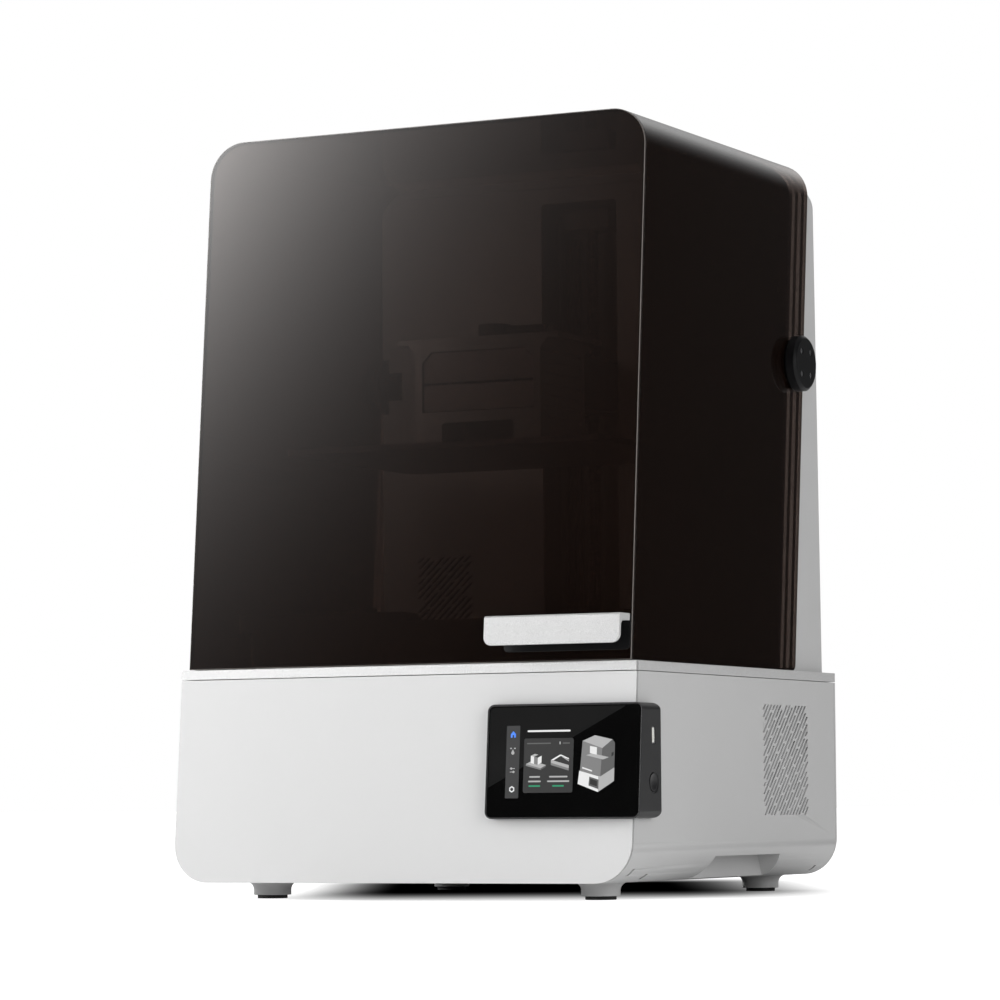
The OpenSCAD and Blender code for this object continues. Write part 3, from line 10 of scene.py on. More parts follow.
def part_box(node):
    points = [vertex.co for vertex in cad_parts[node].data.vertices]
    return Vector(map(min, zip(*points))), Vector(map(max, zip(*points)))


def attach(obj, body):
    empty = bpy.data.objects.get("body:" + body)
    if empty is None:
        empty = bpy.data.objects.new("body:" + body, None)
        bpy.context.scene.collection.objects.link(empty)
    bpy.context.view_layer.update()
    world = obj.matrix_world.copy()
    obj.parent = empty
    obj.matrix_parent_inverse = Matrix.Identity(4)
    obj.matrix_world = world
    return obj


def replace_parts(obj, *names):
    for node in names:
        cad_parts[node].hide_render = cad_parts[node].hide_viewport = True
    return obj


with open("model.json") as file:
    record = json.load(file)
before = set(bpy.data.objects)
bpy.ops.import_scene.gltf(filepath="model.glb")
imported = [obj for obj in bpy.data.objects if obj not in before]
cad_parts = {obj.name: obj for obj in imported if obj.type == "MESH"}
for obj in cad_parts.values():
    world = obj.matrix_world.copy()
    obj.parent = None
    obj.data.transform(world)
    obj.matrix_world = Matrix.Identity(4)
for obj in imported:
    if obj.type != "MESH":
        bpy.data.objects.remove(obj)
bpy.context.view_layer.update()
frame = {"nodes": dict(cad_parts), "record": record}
MM = 0.001
DECK_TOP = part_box("top_deck")[1].z
# How far the front of the base leans back for each unit of height
LEAN = math.tan(math.radians(4.89))

# ---------------------------------------------------------------- camera

CAMERA_PLACE = Vector((1.614321, -3.211957, 0.078626))
CAMERA_YAW = math.radians(26.8599)
CAMERA_PITCH = math.radians(4.2876)
CAMERA_ROLL = math.radians(-0.3933)
CAMERA_LENS = 146.57


def make_camera():
    ahead = Vector((-math.sin(CAMERA_YAW) * math.cos(CAMERA_PITCH),
                    math.cos(CAMERA_YAW) * math.cos(CAMERA_PITCH), math.sin(CAMERA_PITCH)))
    level = Vector((math.cos(CAMERA_YAW), math.sin(CAMERA_YAW), 0))
    above = level.cross(ahead)
    right = math.cos(CAMERA_ROLL) * level + math.sin(CAMERA_ROLL) * above
    up = -math.sin(CAMERA_ROLL) * level + math.cos(CAMERA_ROLL) * above
    data = bpy.data.cameras.new("camera")
    data.sensor_width = 36
    data.lens = CAMERA_LENS
    data.clip_end = 100
    camera = bpy.data.objects.new("camera", data)
    bpy.context.scene.collection.objects.link(camera)
    turn = Matrix((right, up, -ahead)).transposed()
    camera.matrix_world = Matrix.Translation(CAMERA_PLACE) @ turn.to_4x4()
    bpy.context.scene.camera = camera


# ---------------------------------------------------------------- materials

def new_material(name):
    """A material, its node tree and its principled shader."""
    material = bpy.data.materials.new(name)
    material.use_nodes = True
    tree = material.node_tree
    return material, tree, tree.nodes["Principled BSDF"]


def node_of(tree, kind, inputs=(), **settings):
    """A new node; inputs are (name or number, value or socket) pairs."""
    node = tree.nodes.new("ShaderNode" + kind)
    for key, value in settings.items():
        setattr(node, key, value)
    for key, value in inputs:
        if isinstance(value, bpy.types.NodeSocket):
            tree.links.new(value, node.inputs[key])
        else:
            node.inputs[key].default_value = value
    return node


def noise(tree, scale, detail=2.0, stretch=(1, 1, 1)):
    spot = node_of(tree, "TexCoord").outputs["Object"]
    mapped = node_of(tree, "Mapping", [("Vector", spot), ("Scale", stretch)]).outputs[0]
    settings = [("Vector", mapped), ("Scale", scale), ("Detail", detail)]
    return node_of(tree, "TexNoise", settings).outputs["Fac"]


def ramp(tree, fac, low, high, low_value, high_value):
    """Maps fac from low..high to low_value..high_value."""
    return node_of(tree, "MapRange", [("Value", fac), ("From Min", low), ("From Max", high),
                                      ("To Min", low_value), ("To Max", high_value)]).outputs["Result"]


def tint(tree, fac, dark, light):
    """A colour between dark and light."""
    return node_of(tree, "Mix", [("Factor", fac), ("A", (*dark, 1)), ("B", (*light, 1))],
                   data_type="RGBA").outputs["Result"]


def mixed_of(tree, fac, first, second):
    return node_of(tree, "MixShader", [(0, fac), (1, first), (2, second)]).outputs[0]


def bump(tree, shader, height, depth):
    node = node_of(tree, "Bump", [("Height", height), ("Strength", 1.0), ("Distance", depth * MM)])
    tree.links.new(node.outputs["Normal"], shader.inputs["Normal"])


def shifted(colour, spread):
    return tuple(max(0.0, min(1.0, c + spread)) for c in colour)


def varied(tree, shader, fac, colour, spread):
    """Base colour that goes a little under and over colour with fac."""
    share = ramp(tree, fac, 0.3, 0.7, 0, 1)
    tone = tint(tree, share, shifted(colour, -spread), shifted(colour, spread))
    tree.links.new(tone, shader.inputs["Base Color"])


def roughened(tree, shader, fac, rough, spread):
    """Roughness that goes a little under and over rough with fac."""
    tree.links.new(ramp(tree, fac, 0.3, 0.7, rough - spread, rough + spread), shader.inputs["Roughness"])


def grained(name, colour, rough, metal=0.0, grain=2600, depth=0.02, spread=0.02, specular=0.5):
    """Paint, moulded plastic or blasted metal: a fine even grain and slight changes of tone."""
    material, tree, shader = new_material(name)
    fine = noise(tree, grain, 3)
    broad = noise(tree, 14, 3)
    varied(tree, shader, broad, colour, spread)
    roughened(tree, shader, fine, rough, 0.05)
    shader.inputs["Metallic"].default_value = metal
    shader.inputs["Specular IOR Level"].default_value = specular
    bump(tree, shader, fine, depth)
    return material


def speckled(name, dark, light, rough, metal, grain, depth):
    """Blasted metal whose bright and dark grains show."""
    material, tree, shader = new_material(name)
    fine = noise(tree, grain, 4)
    tone = tint(tree, ramp(tree, fine, 0.35, 0.65, 0, 1), dark, light)
    tree.links.new(tone, shader.inputs["Base Color"])
    roughened(tree, shader, fine, rough, 0.06)
    shader.inputs["Metallic"].default_value = metal
    bump(tree, shader, fine, depth)
    return material


def brushed(name, colour, rough, stretch, depth):
    """Metal with drawn lines: stretch is small along the lines and large across them."""
    material, tree, shader = new_material(name)
    lines = noise(tree, 1, 4, stretch)
    varied(tree, shader, lines, colour, 0.05)
    roughened(tree, shader, lines, rough, 0.08)
    shader.inputs["Metallic"].default_value = 1.0
    bump(tree, shader, lines, depth)
    return material


def sheet(name, passed, rough, ior=1.49, body=(0.3, 0.3, 0.3), haze=0.0):
    """A thin see-through skin. One face lets passed through, and its haze has the colour of its body."""
    material, tree, shader = new_material(name)
    tree.nodes.remove(shader)
    smear = ramp(tree, noise(tree, 7, 4), 0.35, 0.75, rough, rough * 2)
    clear = node_of(tree, "BsdfTransparent", [("Color", (*passed, 1))]).outputs[0]
    milky = node_of(tree, "BsdfDiffuse", [("Color", (*body, 1))]).outputs[0]
    through = mixed_of(tree, haze, clear, milky)
    gloss = node_of(tree, "BsdfGlossy", [("Color", (1, 1, 1, 1)), ("Roughness", smear)]).outputs[0]
    edge = node_of(tree, "Fresnel", [("IOR", ior)]).outputs[0]
    tree.links.new(mixed_of(tree, edge, through, gloss), tree.nodes["Material Output"].inputs["Surface"])
    return material


def glow(name, colour, strength):
    """A lit part of the display."""
    material, tree, shader = new_material(name)
    shader.inputs["Base Color"].default_value = (*(c * 0.2 for c in colour), 1)
    shader.inputs["Roughness"].default_value = 0.3
    shader.inputs["Emission Color"].default_value = (*colour, 1)
    shader.inputs["Emission Strength"].default_value = strength
    return material


# What makes each finish, and the values that it takes after the name
FINISHES = {
    "white_paint": (grained, (0.80, 0.80, 0.80), 0.40, 0.0, 3200, 0.012, 0.004),
    "grey_paint": (grained, (0.52, 0.52, 0.52), 0.42, 0.0, 3200, 0.012, 0.004),
    "deck_metal": (speckled, (0.50, 0.50, 0.50), (0.72, 0.72, 0.72), 0.45, 0.35, 2600, 0.01),
    "smoked_acrylic": (sheet, (0.345, 0.300, 0.280), 0.015, 1.49, (0.42, 0.21, 0.14), 0.014),
    "handle_metal": (speckled, (0.50, 0.50, 0.50), (0.66, 0.66, 0.66), 0.42, 0.3, 1500, 0.01),
    "plate_metal": (grained, (0.38, 0.38, 0.39), 0.5, 1.0, 1800, 0.02, 0.03),
    "dark_metal": (grained, (0.085, 0.085, 0.09), 0.45, 0.5, 2600, 0.01, 0.008),
    "bright_metal": (grained, (0.66, 0.66, 0.67), 0.38, 0.9, 2400, 0.008, 0.02),
    "steel": (brushed, (0.55, 0.55, 0.56), 0.3, (2500, 2500, 60), 0.004),
    "housing_plastic": (grained, (0.013, 0.013, 0.014), 0.42, 0.0, 2400, 0.02, 0.003),
    "black_plastic": (grained, (0.018, 0.018, 0.018), 0.38, 0.0, 2400, 0.015, 0.003),
    "satin_black": (grained, (0.005, 0.005, 0.0055), 0.4, 0.0, 2400, 0.015, 0.002, 0.2),
    "bracket_metal": (grained, (0.42, 0.42, 0.42), 0.45, 0.4, 2600, 0.01, 0.02),
    "foot_plastic": (grained, (0.5, 0.5, 0.5), 0.4, 0.0, 2400, 0.01, 0.01),
    "rubber": (grained, (0.015, 0.015, 0.015), 0.75, 0.0, 1500, 0.03, 0.004),
    "screen_glass": (grained, (0.003, 0.003, 0.003), 0.05, 0.0, 30, 0.0005, 0.0005),
    "panel_glass": (grained, (0.012, 0.012, 0.016), 0.06, 0.0, 30, 0.0005, 0.001),
    "lens": (sheet, (0.9, 0.93, 0.95), 0.03),
    "film": (sheet, (0.93, 0.95, 0.97), 0.05, 1.35),
    "circuit": (grained, (0.012, 0.09, 0.04), 0.35, 0.0, 800, 0.02, 0.01),
    "lamp": (grained, (0.75, 0.75, 0.7), 0.25, 0.0, 900, 0.01, 0.03),
    "carbon": (grained, (0.03, 0.03, 0.03), 0.9, 0.0, 500, 0.4, 0.01),
    # The cover's cut edges, in a lighter tone that paints the highlight along them
    "acrylic_edge": (grained, (0.16, 0.145, 0.135), 0.18, 0.0, 900, 0.002, 0.01, 0.8),
    # A painted reflection: the lighter upper left half of the screen glass
    "shaded_glass": (grained, (0.016, 0.016, 0.016), 0.05, 0.0, 30, 0.0005, 0.0005),
    "display_bar": (glow, (0.022, 0.022, 0.023), 0.5),
    "display_card": (glow, (0.007, 0.007, 0.0075), 0.4),
    "display_black": (glow, (0.006, 0.006, 0.006), 0.3),
    "display_white": (glow, (0.78, 0.78, 0.78), 0.85),
    "display_light": (glow, (0.44, 0.44, 0.44), 0.8),
    "display_grey": (glow, (0.2, 0.2, 0.2), 0.8),
    "display_dim": (glow, (0.09, 0.09, 0.09), 0.8),
    "display_blue": (glow, (0.06, 0.22, 0.85), 1.0),
    "display_green": (glow, (0.005, 0.26, 0.12), 0.9),
}
finished = {}


def finish_of(slot):
    if slot not in finished:
        make, *values = FINISHES[slot]
        finished[slot] = make(slot, *values)
    return finished[slot]


SLOTS = {part["node"]: part["material_slot"] for part in frame["record"]["subparts"]}
BODIES = {node: body for body, nodes in frame["record"]["behaviour"]["bodies"].items() for node in nodes}


def dress_frame():
    for node, obj in frame["nodes"].items():
        obj.data.materials.clear()
        obj.data.materials.append(finish_of(SLOTS[node]))


# ---------------------------------------------------------------- pieces

# A face counts as wide over this area, and over this breadth for its length
WIDE_AREA, WIDE_BREADTH = 200 * MM * MM, 5 * MM
# How near two vertices are to be one, and by what angle flat faces may differ to be one
JOIN_GAP, JOIN_ANGLE = 0.002 * MM, math.radians(0.4)
BEVEL_ANGLE, BEVEL_STEPS = math.radians(35), 2
# How strongly the larger faces pull the shading of their edges
FACE_WEIGHT = 100
# Millimetres of bevel on the pieces that have the finish of their slot
BEVELS = {
    "base_wrap": 0.5, "front_panel": 0.4, "rear_panel": 0.4, "top_deck": 0.5, "feet": 0.6, "foot_pads": 0.4,
    "screen_housing": 0.5, "usb_port": 0.1, "power_button": 0.3, "vat_body": 0.8, "film_frame": 0.4,
    "build_plate": 0.4, "clamp_plates": 0.3, "platform_arm": 0.8, "carriage": 0.6, "release_lever": 0.6,
    "tower_panel": 0.15, "tower_shell": 0.5, "heater_bracket": 0.3, "cover_handle": 0.5, "cap_screws": 0.1,
    "vat_knob_left": 0.5, "vat_knob_right": 0.5, "z_column": 0.3, "upper_bearing": 0.5, "lower_bearing": 0.5,
    "slider_blocks": 0.4, "ball_nut": 0.4, "platform_bolts": 0.2, "lcd_frame": 0.3, "power_inlet": 0.3,
    "power_switch": 0.3, "rear_fan_frame": 0.3, "hinge_barrels": 0.4, "cover_wrap": 0.4,
}
# The strip over the tower panel: wall of the cover, corner of the panel, and the gaps round the strip
COVER_WALL, TOWER_R = 3 * MM, 29 * MM
SEAL_GAP, SEAL_SEAM = 0.3 * MM, 0.4 * MM
CORNER_STEPS = 12
# The tongue of the data socket: its size, and how far in and to the rear it sits
TONGUE = Vector((3, 3.4, 12)) * MM
TONGUE_IN, TONGUE_BACK = 1.8 * MM, 0.5 * MM
# The ball screw: radius of thread and of ends, depth and half breadth of the groove, lead, ends of the thread
SCREW_R, JOURNAL_R, GROOVE_DEPTH = 6 * MM, 4 * MM, 0.9 * MM
GROOVE_HALF = 0.36
SCREW_LEAD = 5 * MM
THREAD_START, THREAD_END = DECK_TOP + 20 * MM, DECK_TOP + 412 * MM
AROUND, RINGS_PER_TURN = 24, 10


def piece_of(name, mesh, body, slot, *materials):
    """A new piece on a body, in the finish of its slot unless materials are named."""
    piece = bpy.data.objects.new(name, mesh)
    bpy.context.scene.collection.objects.link(piece)
    tones = [0] * len(mesh.polygons)
    mesh.polygons.foreach_get("material_index", tones)
    mesh.materials.clear()
    for key in materials or (slot,):
        mesh.materials.append(finish_of(key))
    mesh.polygons.foreach_set("material_index", tones)
    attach(piece, body)
    return piece


def settled(piece):
    """The piece with its modifiers applied."""
    graph = bpy.context.evaluated_depsgraph_get()
    mesh = bpy.data.meshes.new_from_object(piece.evaluated_get(graph))
    piece.modifiers.clear()
    piece.data = mesh


def level_faces(mesh):
    """Exact normals on the wide flat faces, so that they shade evenly."""
    normals = [corner.vector.copy() for corner in mesh.corner_normals]
    for face in mesh.polygons:
        longest = max((mesh.vertices[a].co - mesh.vertices[b].co).length for a, b in face.edge_keys)
        if face.area > WIDE_AREA and face.area / longest > WIDE_BREADTH:
            for loop in face.loop_indices:
                normals[loop] = face.normal
    mesh.normals_split_custom_set(normals)


def cleaned(node, change=None):
    """The mesh of a CAD node with its flat faces whole; change alters it last."""
    form = bmesh.new()
    form.from_mesh(frame["nodes"][node].data)
    bmesh.ops.remove_doubles(form, verts=form.verts, dist=JOIN_GAP)
    bmesh.ops.dissolve_limit(form, angle_limit=JOIN_ANGLE, verts=form.verts, edges=form.edges)
    if change:
        change(form)
    mesh = bpy.data.meshes.new("dressed_" + node)
    form.to_mesh(mesh)
    form.free()
    mesh.shade_smooth()
    return mesh


def dressed(node, bevel, change=None, finish=None, edge=None):
    """A copy of a CAD node with bevelled edges and smooth curves. finish and edge name the materials
    of its faces and of its bevels, where its slot's isn't used."""
    piece = piece_of("dressed_" + node, cleaned(node, change), BODIES[node], SLOTS[node],
                     *[key for key in (finish or SLOTS[node], edge) if key])
    cut = piece.modifiers.new("bevel", "BEVEL")
    cut.width = bevel * MM
    cut.segments = BEVEL_STEPS
    cut.limit_method = "ANGLE"
    cut.angle_limit = BEVEL_ANGLE
    cut.harden_normals = True
    cut.use_clamp_overlap = True
    if edge:
        cut.material = 1
    even = piece.modifiers.new("even", "WEIGHTED_NORMAL")
    even.keep_sharp = True
    even.weight = FACE_WEIGHT
    settled(piece)
    level_faces(piece.data)
    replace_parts(piece, node)


def dress_nodes():
    for node, bevel in BEVELS.items():
        dressed(node, bevel)
    for node in ("handle_backing", "hinge_cap_left", "hinge_cap_right"):
        dressed(node, 0.4, finish="satin_black")
    dressed("platform_bracket", 0.5, finish="bracket_metal")
    # The cover's bevels take the lighter edge tone, a painted highlight
    dressed("cover_front", 0.7, edge="acrylic_edge")


def arch(half, top, r):
    """Points of an arch with rounded corners, from its left foot to its right one, in metres."""
    turns = [math.pi - math.pi / 2 * k / CORNER_STEPS for k in range(CORNER_STEPS + 1)]
    left = [(-half + r + r * math.cos(t), top - r + r * math.sin(t)) for t in turns]
    return left + [(-x, z) for x, z in reversed(left)]


def tower_seal():
    """The strip that fills the gap over the tower panel, inside the cover."""
    low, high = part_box("tower_panel")
    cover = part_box("cover_wrap")[1].z - COVER_WALL - SEAL_GAP
    middle, half = (low.x + high.x) / 2, (high.x - low.x) / 2
    outer, inner = arch(half, cover, TOWER_R - SEAL_GAP), arch(half, high.z + SEAL_SEAM, TOWER_R)
    count = len(outer)
    verts = [(middle + x, y, z) for y in (low.y, high.y) for line in (outer, inner) for x, z in line]
    faces = []
    for k in range(count - 1):
        for a, b in ((0, count), (3 * count, 2 * count), (2 * count, 0), (count, 3 * count)):
            faces.append((a + k, a + k + 1, b + k + 1, b + k))
    for k in (0, count - 1):
        faces.append((k, count + k, 3 * count + k, 2 * count + k))
    mesh = bpy.data.meshes.new("tower_seal")
    mesh.from_pydata(verts, [], faces)
    piece_of("tower_seal", mesh, "printer", "grey_paint")


def usb_tongue():
    """The pale tongue inside the data socket's mouth."""
    low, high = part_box("usb_port")
    middle = (low + high) / 2
    mesh = bpy.data.meshes.new("usb_tongue")
    form = bmesh.new()
    bmesh.ops.create_cube(form, size=1)
    place = Vector((high.x - TONGUE_IN, middle.y + TONGUE_BACK, middle.z))
    for vert in form.verts:
        vert.co = Vector([a * b for a, b in zip(vert.co, TONGUE)]) + place
    form.to_mesh(mesh)
    form.free()
    piece_of("usb_tongue", mesh, "printer", "lamp")


def screw_ring(centre, z, size, grooved=False):
    """Points round the screw at height z."""
    points = []
    for k in range(AROUND):
        turn = 2 * math.pi * k / AROUND
        phase = ((z - THREAD_START) / SCREW_LEAD - k / AROUND) % 1
        near = abs(phase - 0.5) / GROOVE_HALF
        depth = GROOVE_DEPTH * math.sqrt(1 - near * near) if grooved and near < 1 else 0
        reach = size - depth
        points.append((centre.x + reach * math.cos(turn), centre.y + reach * math.sin(turn), z))
    return points


def screw_thread():
    """The ball screw with its rolled groove, inside the CAD screw's outline."""
    low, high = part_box("ball_screw")
    centre = (low + high) / 2
    length = THREAD_END - THREAD_START
    steps = round(length / SCREW_LEAD * RINGS_PER_TURN)
    verts, faces = [], []
    for z, size in ((low.z, 0), (low.z, JOURNAL_R), (THREAD_START, JOURNAL_R)):
        verts += screw_ring(centre, z, size)
    for step in range(steps + 1):
        verts += screw_ring(centre, THREAD_START + length * step / steps, SCREW_R, True)
    for z, size in ((THREAD_END, JOURNAL_R), (high.z, JOURNAL_R), (high.z, 0)):
        verts += screw_ring(centre, z, size)
    for start in range(0, len(verts) - AROUND, AROUND):
        above = start + AROUND
        for a in range(AROUND):
            b = (a + 1) % AROUND
            faces.append((start + a, start + b, above + b, above + a))
    mesh = bpy.data.meshes.new("screw_thread")
    mesh.from_pydata(verts, [], faces)
    mesh.shade_smooth()
    mesh.set_sharp_from_angle(angle=math.radians(40))
    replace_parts(piece_of("screw_thread", mesh, "screw", "steel"), "ball_screw")


# ---------------------------------------------------------------- display

# Thickness and number of the picture's layers, and the spare ones behind them
DISPLAY_LAYER, PICTURE_DEPTH, SPARE_LAYERS = 0.03 * MM, 8, 2
# How far behind the glass's front its front vertices may lie
GLASS_FRONT = 0.4 * MM


class Picture:
    """Flat shapes on the leaning screen glass, by their places right of and above its lower left corner.
    Places are millimetres, unless grow and shift say otherwise."""

    def __init__(self, grow=(1, 1), shift=(0, 0)):
        self.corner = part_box("screen_glass")[0]
        self.grow, self.shift = grow, shift
        self.verts, self.faces, self.tones, self.names = [], [], [], []

    def spot(self, u, v, layer):
        x = self.corner.x + (u * self.grow[0] + self.shift[0]) * MM
        z = self.corner.z + (v * self.grow[1] + self.shift[1]) * MM
        y = self.corner.y + (z - self.corner.z) * LEAN
        return (x, y + (PICTURE_DEPTH - layer) * DISPLAY_LAYER, z)

    def shape(self, tone, layer, points):
        if tone not in self.names:
            self.names.append(tone)
        start = len(self.verts)
        self.verts += [self.spot(u, v, layer) for u, v in points]
        self.faces.append(tuple(range(start, start + len(points))))
        self.tones.append(self.names.index(tone))

    def bar(self, tone, layer, u0, v0, u1, v1, r=0.0):
        points = []
        steps = 5 if r else 0
        right, left, low, high = u1 - r, u0 + r, v0 + r, v1 - r
        for cu, cv, start in ((right, low, 270), (right, high, 0), (left, high, 90), (left, low, 180)):
            for k in range(steps + 1):
                turn = math.radians(start + 90 * k / max(steps, 1))
                points.append((cu + r * math.cos(turn), cv + r * math.sin(turn)))
        self.shape(tone, layer, points)

    def disc(self, tone, layer, u, v, r, sides=20, turn=0):
        ways = [math.radians(turn + 360 * k / sides) for k in range(sides)]
        self.shape(tone, layer, [(u + r * math.cos(way), v + r * math.sin(way)) for way in ways])

    def made(self, name):
        mesh = bpy.data.meshes.new(name)
        mesh.from_pydata(self.verts, [], self.faces)
        mesh.polygons.foreach_set("material_index", self.tones)
        return piece_of(name, mesh, "printer", "screen_glass", *self.names)


def draw_icons(pic):
    """Side bar: house, drop under an arc, two sliders and a nut."""
    pic.bar("display_bar", 1, 15.6, 18.5, 26.2, 69.5, 0.4)
    u = 20.9
    pic.shape("display_blue", 2, [(u - 2, 61.2), (u - 0.6, 61.2), (u - 0.6, 63), (u + 0.6, 63),
                                  (u + 0.6, 61.2), (u + 2, 61.2), (u + 2, 63.6), (u, 65.8), (u - 2, 63.6)])
    pic.disc("display_light", 2, u, 50.4, 1.25)
    pic.shape("display_light", 2, [(u - 1.1, 50.9), (u + 1.1, 50.9), (u, 53)])
    pic.bar("display_light", 2, u - 2.3, 53.2, u - 0.8, 54.0, 0.3)
    pic.bar("display_light", 2, u + 0.8, 53.2, u + 2.3, 54.0, 0.3)
    for v, knob in ((39.4, -0.9), (37.0, 0.9)):
        pic.bar("display_light", 2, u - 2, v - 0.25, u + 2, v + 0.25, 0.2)
        pic.disc("display_light", 3, u + knob, v, 0.8, 12)
    pic.disc("display_white", 2, u, 24.8, 2.3, 6, 30)
    pic.disc("display_bar", 3, u, 24.8, 1.2)


def draw_card(pic):
    """Card with a build platform and a vat, each over two caption bars and a green one."""
    pic.bar("display_card", 1, 29.8, 22.2, 69.0, 60.4, 1.2)
    pic.bar("display_dim", 2, 32, 56.4, 51, 57.3, 0.4)
    pic.bar("display_light", 2, 57.8, 56.0, 58.7, 58.0, 0.4)
    pic.bar("display_dim", 2, 60.4, 56.4, 66, 57.3, 0.4)
    # Platform: a plate seen from above and the bracket on it
    pic.shape("display_light", 2, [(31.6, 42.4), (43.5, 39.4), (47.6, 41.6), (36.4, 44.8)])
    pic.shape("display_grey", 3, [(31.6, 42.4), (43.5, 39.4), (43.5, 38.2), (31.6, 41.2)])
    pic.shape("display_dim", 3, [(43.5, 39.4), (47.6, 41.6), (47.6, 40.4), (43.5, 38.2)])
    pic.shape("display_white", 4, [(35.4, 43.2), (38.0, 42.5), (38.0, 47.6), (35.4, 48.2)])
    pic.shape("display_grey", 4, [(38.0, 42.5), (41.0, 41.8), (41.0, 46.8), (38.0, 47.6)])
    pic.shape("display_white", 5, [(41.0, 41.8), (44.0, 43.4), (44.0, 48.2), (41.0, 46.8)])
    pic.shape("display_light", 5, [(35.4, 48.2), (38.0, 47.6), (41.4, 48.9), (38.6, 49.6)])
    # Vat: a tray with two walls and a rod
    pic.shape("display_light", 2, [(51.4, 43.2), (65.6, 39.2), (65.6, 41.4), (51.4, 45.2)])
    pic.shape("display_grey", 3, [(51.4, 43.2), (65.6, 39.2), (65.6, 37.6), (51.4, 41.6)])
    pic.shape("display_white", 4, [(51.6, 45.2), (53.4, 44.8), (60.0, 48.4), (58.6, 48.9)])
    pic.shape("display_white", 4, [(58.4, 48.2), (65.6, 45.4), (65.6, 46.2), (59.4, 48.9)])
    pic.shape("display_light", 4, [(60.4, 47.0), (65.6, 44.0), (65.6, 44.7), (61.2, 47.6)])
    for middle, widths in ((38.8, (8.5, 10.0)), (57.6, (14.5, 17.5))):
        for v, width in zip((33.4, 30.2), widths):
            pic.bar("display_light", 2, middle - width / 2, v - 0.55, middle + width / 2, v + 0.55, 0.5)
        pic.bar("display_green", 2, middle - 4.6, 26.4, middle + 4.6, 27.5, 0.5)
    pic.bar("display_white", 1, 32.2, 64.9, 66.2, 66.2, 0.6)


def draw_printer(pic):
    """A small printer: white base, see-through cover, dark screen."""
    pic.shape("display_white", 1, [(73.0, 28.2), (89.0, 22.4), (89.0, 33.4), (74.0, 37.4)])
    pic.shape("display_light", 1, [(89.0, 22.4), (101.4, 30.0), (101.4, 39.6), (89.0, 33.4)])
    pic.shape("display_grey", 2, [(74.6, 37.2), (90.6, 33.2), (91.6, 53.0), (76.0, 58.2)])
    pic.shape("display_dim", 2, [(90.6, 33.2), (101.4, 39.4), (101.4, 56.6), (99.4, 59.0), (91.6, 53.0)])
    pic.shape("display_light", 2, [(76.0, 58.2), (91.6, 53.0), (99.4, 59.0), (85.6, 62.0)])
    pic.shape("display_light", 3, [(79.0, 48.2), (92.4, 45.0), (97.0, 46.6), (84.0, 49.4)])
    pic.shape("display_white", 4, [(82.0, 49.6), (87.4, 48.4), (87.4, 53.6), (82.0, 54.6)])
    pic.shape("display_white", 3, [(76.2, 39.0), (84.0, 36.6), (84.0, 37.6), (76.4, 40.0)])
    pic.shape("display_black", 3, [(98.9, 47.0), (100.6, 48.0), (100.6, 50.4), (98.9, 49.6)])
    pic.shape("display_dim", 3, [(81.6, 27.0), (89.4, 24.4), (89.4, 31.0), (82.0, 33.2)])
    pic.shape("display_black", 4, [(82.6, 28.0), (88.2, 26.2), (88.2, 30.2), (82.8, 31.8)])


def sink_face(form):
    """Sets the front of the glass back, behind the picture's layers."""
    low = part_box("screen_glass")[0]
    for vert in form.verts:
        front = low.y + (vert.co.z - low.z) * LEAN
        if vert.co.y - front < GLASS_FRONT:
            vert.co.y += (PICTURE_DEPTH + SPARE_LAYERS) * DISPLAY_LAYER


def display():
    """The glass, with a painted reflection that lightens its upper left half, and what the screen shows."""
    low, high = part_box("screen_glass")
    width, height = (high.x - low.x) / MM, (high.z - low.z) / MM
    top = height - 1.4
    # A painted reflection: a lighter shape over the glass's upper left half
    reflection_layer = Picture()
    reflection_layer.shape("shaded_glass", 0.4, [(1.4, 24.5), (width - 13.5, top), (6, top), (2.4, height - 2.6),
                                      (1.4, height - 6)])
    reflection_layer.made("display_shade")
    pic = Picture((1.15, 1.165), (-0.9, -5.9))
    draw_icons(pic)
    draw_card(pic)
    draw_printer(pic)
    pic.made("display_picture")
    dressed("screen_glass", 0.3, change=sink_face)


# ---------------------------------------------------------------- studio

FLOOR_HALF = 60
FLOOR_TONE = (0.79, 0.79, 0.79)
# Light that the floor gives of itself, and the share of it that reaches the machine
FLOOR_FILL, FLOOR_BOUNCE = 0.85, 0.25
# Where the shadow starts and ends, along and across the line of sight, in metres from the middle
SHADOW_EDGES = (("along", -0.30, 0.16, 0, 1), ("along", 0.50, 0.80, 1, 0),
                ("across", -0.225, -0.105, 0, 1), ("across", 0.14, 0.33, 1, 0))
SHADOW_POWER = 1.8
WORLD_LIGHT = 0.45
# Soft lights that gloss shows: direction, sharpness, strength at the middle, and the most that shows
GLOWS = (
    ((-0.7212, -0.5370, 0.4376), 106, 11800, 8.0),
    ((-0.05, 0.90, 0.43), 26, 0.9, 0.9),
    ((0.89, -0.44, 0.14), 25, 2.5, 2.5),
    ((-0.88, 0.46, 0.10), 10, 3.0, 3.0),
    ((0.0, 0.0, 1.0), 9, 0.9, 0.9),
)
GLOSS_FLOOR = 0.012


def emitter(tree, strength):
    return node_of(tree, "Emission", [("Strength", strength), ("Color", (1, 1, 1, 1))]).outputs[0]


def math_of(tree, operation, first, second):
    return node_of(tree, "Math", [(0, first), (1, second)], operation=operation).outputs[0]


def dot_of(tree, vector, way):
    return node_of(tree, "VectorMath", [(0, vector), (1, way)], operation="DOT_PRODUCT").outputs["Value"]


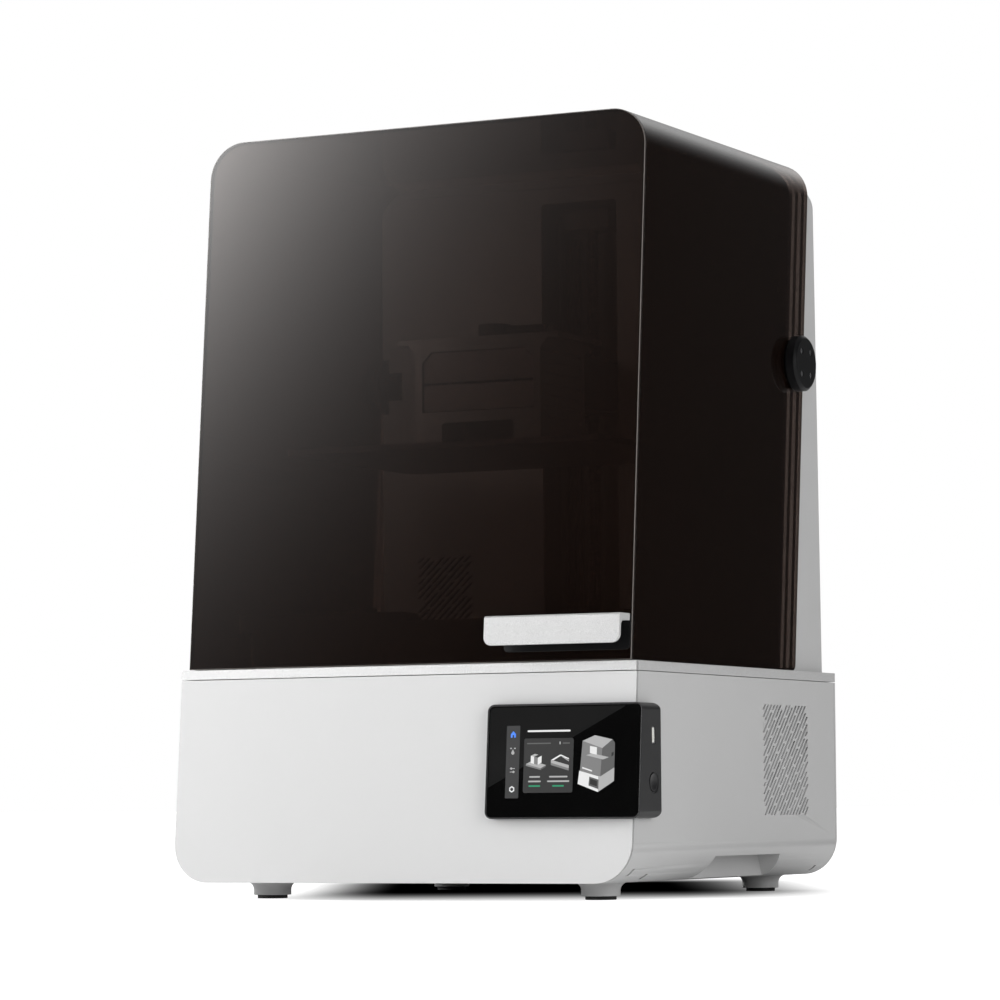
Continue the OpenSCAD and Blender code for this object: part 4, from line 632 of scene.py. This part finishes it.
def shadow_of(tree):
    """How dark the floor is at each spot, from 0 to 1."""
    spot = node_of(tree, "TexCoord").outputs["Object"]
    ways = {"along": dot_of(tree, spot, (-math.sin(CAMERA_YAW), math.cos(CAMERA_YAW), 0)),
            "across": dot_of(tree, spot, (math.cos(CAMERA_YAW), math.sin(CAMERA_YAW), 0))}
    dark = 1.0
    for way, low, high, low_value, high_value in SHADOW_EDGES:
        edge = node_of(tree, "MapRange", [("Value", ways[way]), ("From Min", low), ("From Max", high),
                                          ("To Min", low_value), ("To Max", high_value)],
                       interpolation_type="SMOOTHSTEP").outputs["Result"]
        dark = math_of(tree, "MULTIPLY", edge, dark)
    return dark


def make_floor():
    """A white floor with a deep soft shadow under the machine and behind it."""
    half = FLOOR_HALF
    mesh = bpy.data.meshes.new("floor")
    corners = [(-half, -half, 0), (half, -half, 0), (half, half, 0), (-half, half, 0)]
    mesh.from_pydata(corners, [], [(0, 1, 2, 3)])
    floor = bpy.data.objects.new("floor", mesh)
    bpy.context.scene.collection.objects.link(floor)
    material, tree, shader = new_material("floor")
    shader.inputs["Roughness"].default_value = 1
    shader.inputs["Specular IOR Level"].default_value = 0
    shader.inputs["Emission Color"].default_value = (1, 1, 1, 1)
    lit = math_of(tree, "SUBTRACT", 1.0, shadow_of(tree))
    lit = math_of(tree, "POWER", lit, SHADOW_POWER)
    tree.links.new(tint(tree, lit, (0, 0, 0), FLOOR_TONE), shader.inputs["Base Color"])
    fill = math_of(tree, "MULTIPLY", lit, FLOOR_FILL)
    camera = node_of(tree, "LightPath").outputs["Is Camera Ray"]
    seen = math_of(tree, "MAXIMUM", camera, FLOOR_BOUNCE)
    tree.links.new(math_of(tree, "MULTIPLY", fill, seen), shader.inputs["Emission Strength"])
    mesh.materials.append(material)


def gloss_of(tree):
    """What gloss shows of the world: the soft lights over a faint even tone."""
    way = node_of(tree, "TexCoord").outputs["Generated"]
    total = GLOSS_FLOOR
    for centre, sharp, strength, most in GLOWS:
        near = dot_of(tree, way, Vector(centre).normalized())
        power = math_of(tree, "ADD", math_of(tree, "MULTIPLY", near, sharp), math.log(strength) - sharp)
        lobe = math_of(tree, "MINIMUM", math_of(tree, "EXPONENT", power, 0), most)
        total = math_of(tree, "ADD", lobe, total)
    return emitter(tree, total)


def make_world():
    """White to the eye, soft lights to gloss, and an even light to all else."""
    world = bpy.data.worlds.new("studio")
    bpy.context.scene.world = world
    world.use_nodes = True
    tree = world.node_tree
    tree.nodes.clear()
    path = node_of(tree, "LightPath")
    seen = math_of(tree, "MAXIMUM", path.outputs["Is Camera Ray"], path.outputs["Is Transmission Ray"])
    inner = mixed_of(tree, path.outputs["Is Glossy Ray"], emitter(tree, WORLD_LIGHT), gloss_of(tree))
    outer = mixed_of(tree, seen, inner, emitter(tree, 1.0))
    node_of(tree, "OutputWorld", [("Surface", outer)])


def softbox(name, place, aim, size, power):
    """An area light that neither the camera nor gloss sees."""
    data = bpy.data.lights.new(name, "AREA")
    data.shape = "RECTANGLE"
    data.size, data.size_y = size
    data.energy = power
    light = bpy.data.objects.new(name, data)
    bpy.context.scene.collection.objects.link(light)
    light.location = place
    light.rotation_euler = (Vector(aim) - Vector(place)).to_track_quat("-Z", "Y").to_euler()
    light.visible_glossy = False
    light.visible_camera = False


def make_lights():
    middle = (0, 0, 0.3)
    softbox("key", (-1.05, -0.82, 0.66), middle, (0.8, 0.8), 6.4)
    softbox("side", (1.3, -0.7, 0.5), middle, (0.8, 0.8), 6.3)
    softbox("top", (0.2, 1.2, 3.2), middle, (2.2, 1.4), 18)
    softbox("chamber", (-0.13, -0.13, 0.47), (0.02, 0.14, 0.40), (0.12, 0.30), 0.16)


make_camera()
dress_frame()
dress_nodes()
screw_thread()
tower_seal()
usb_tongue()
display()
make_floor()
make_world()
make_lights()

scene = bpy.context.scene
scene.view_settings.view_transform = "Standard"
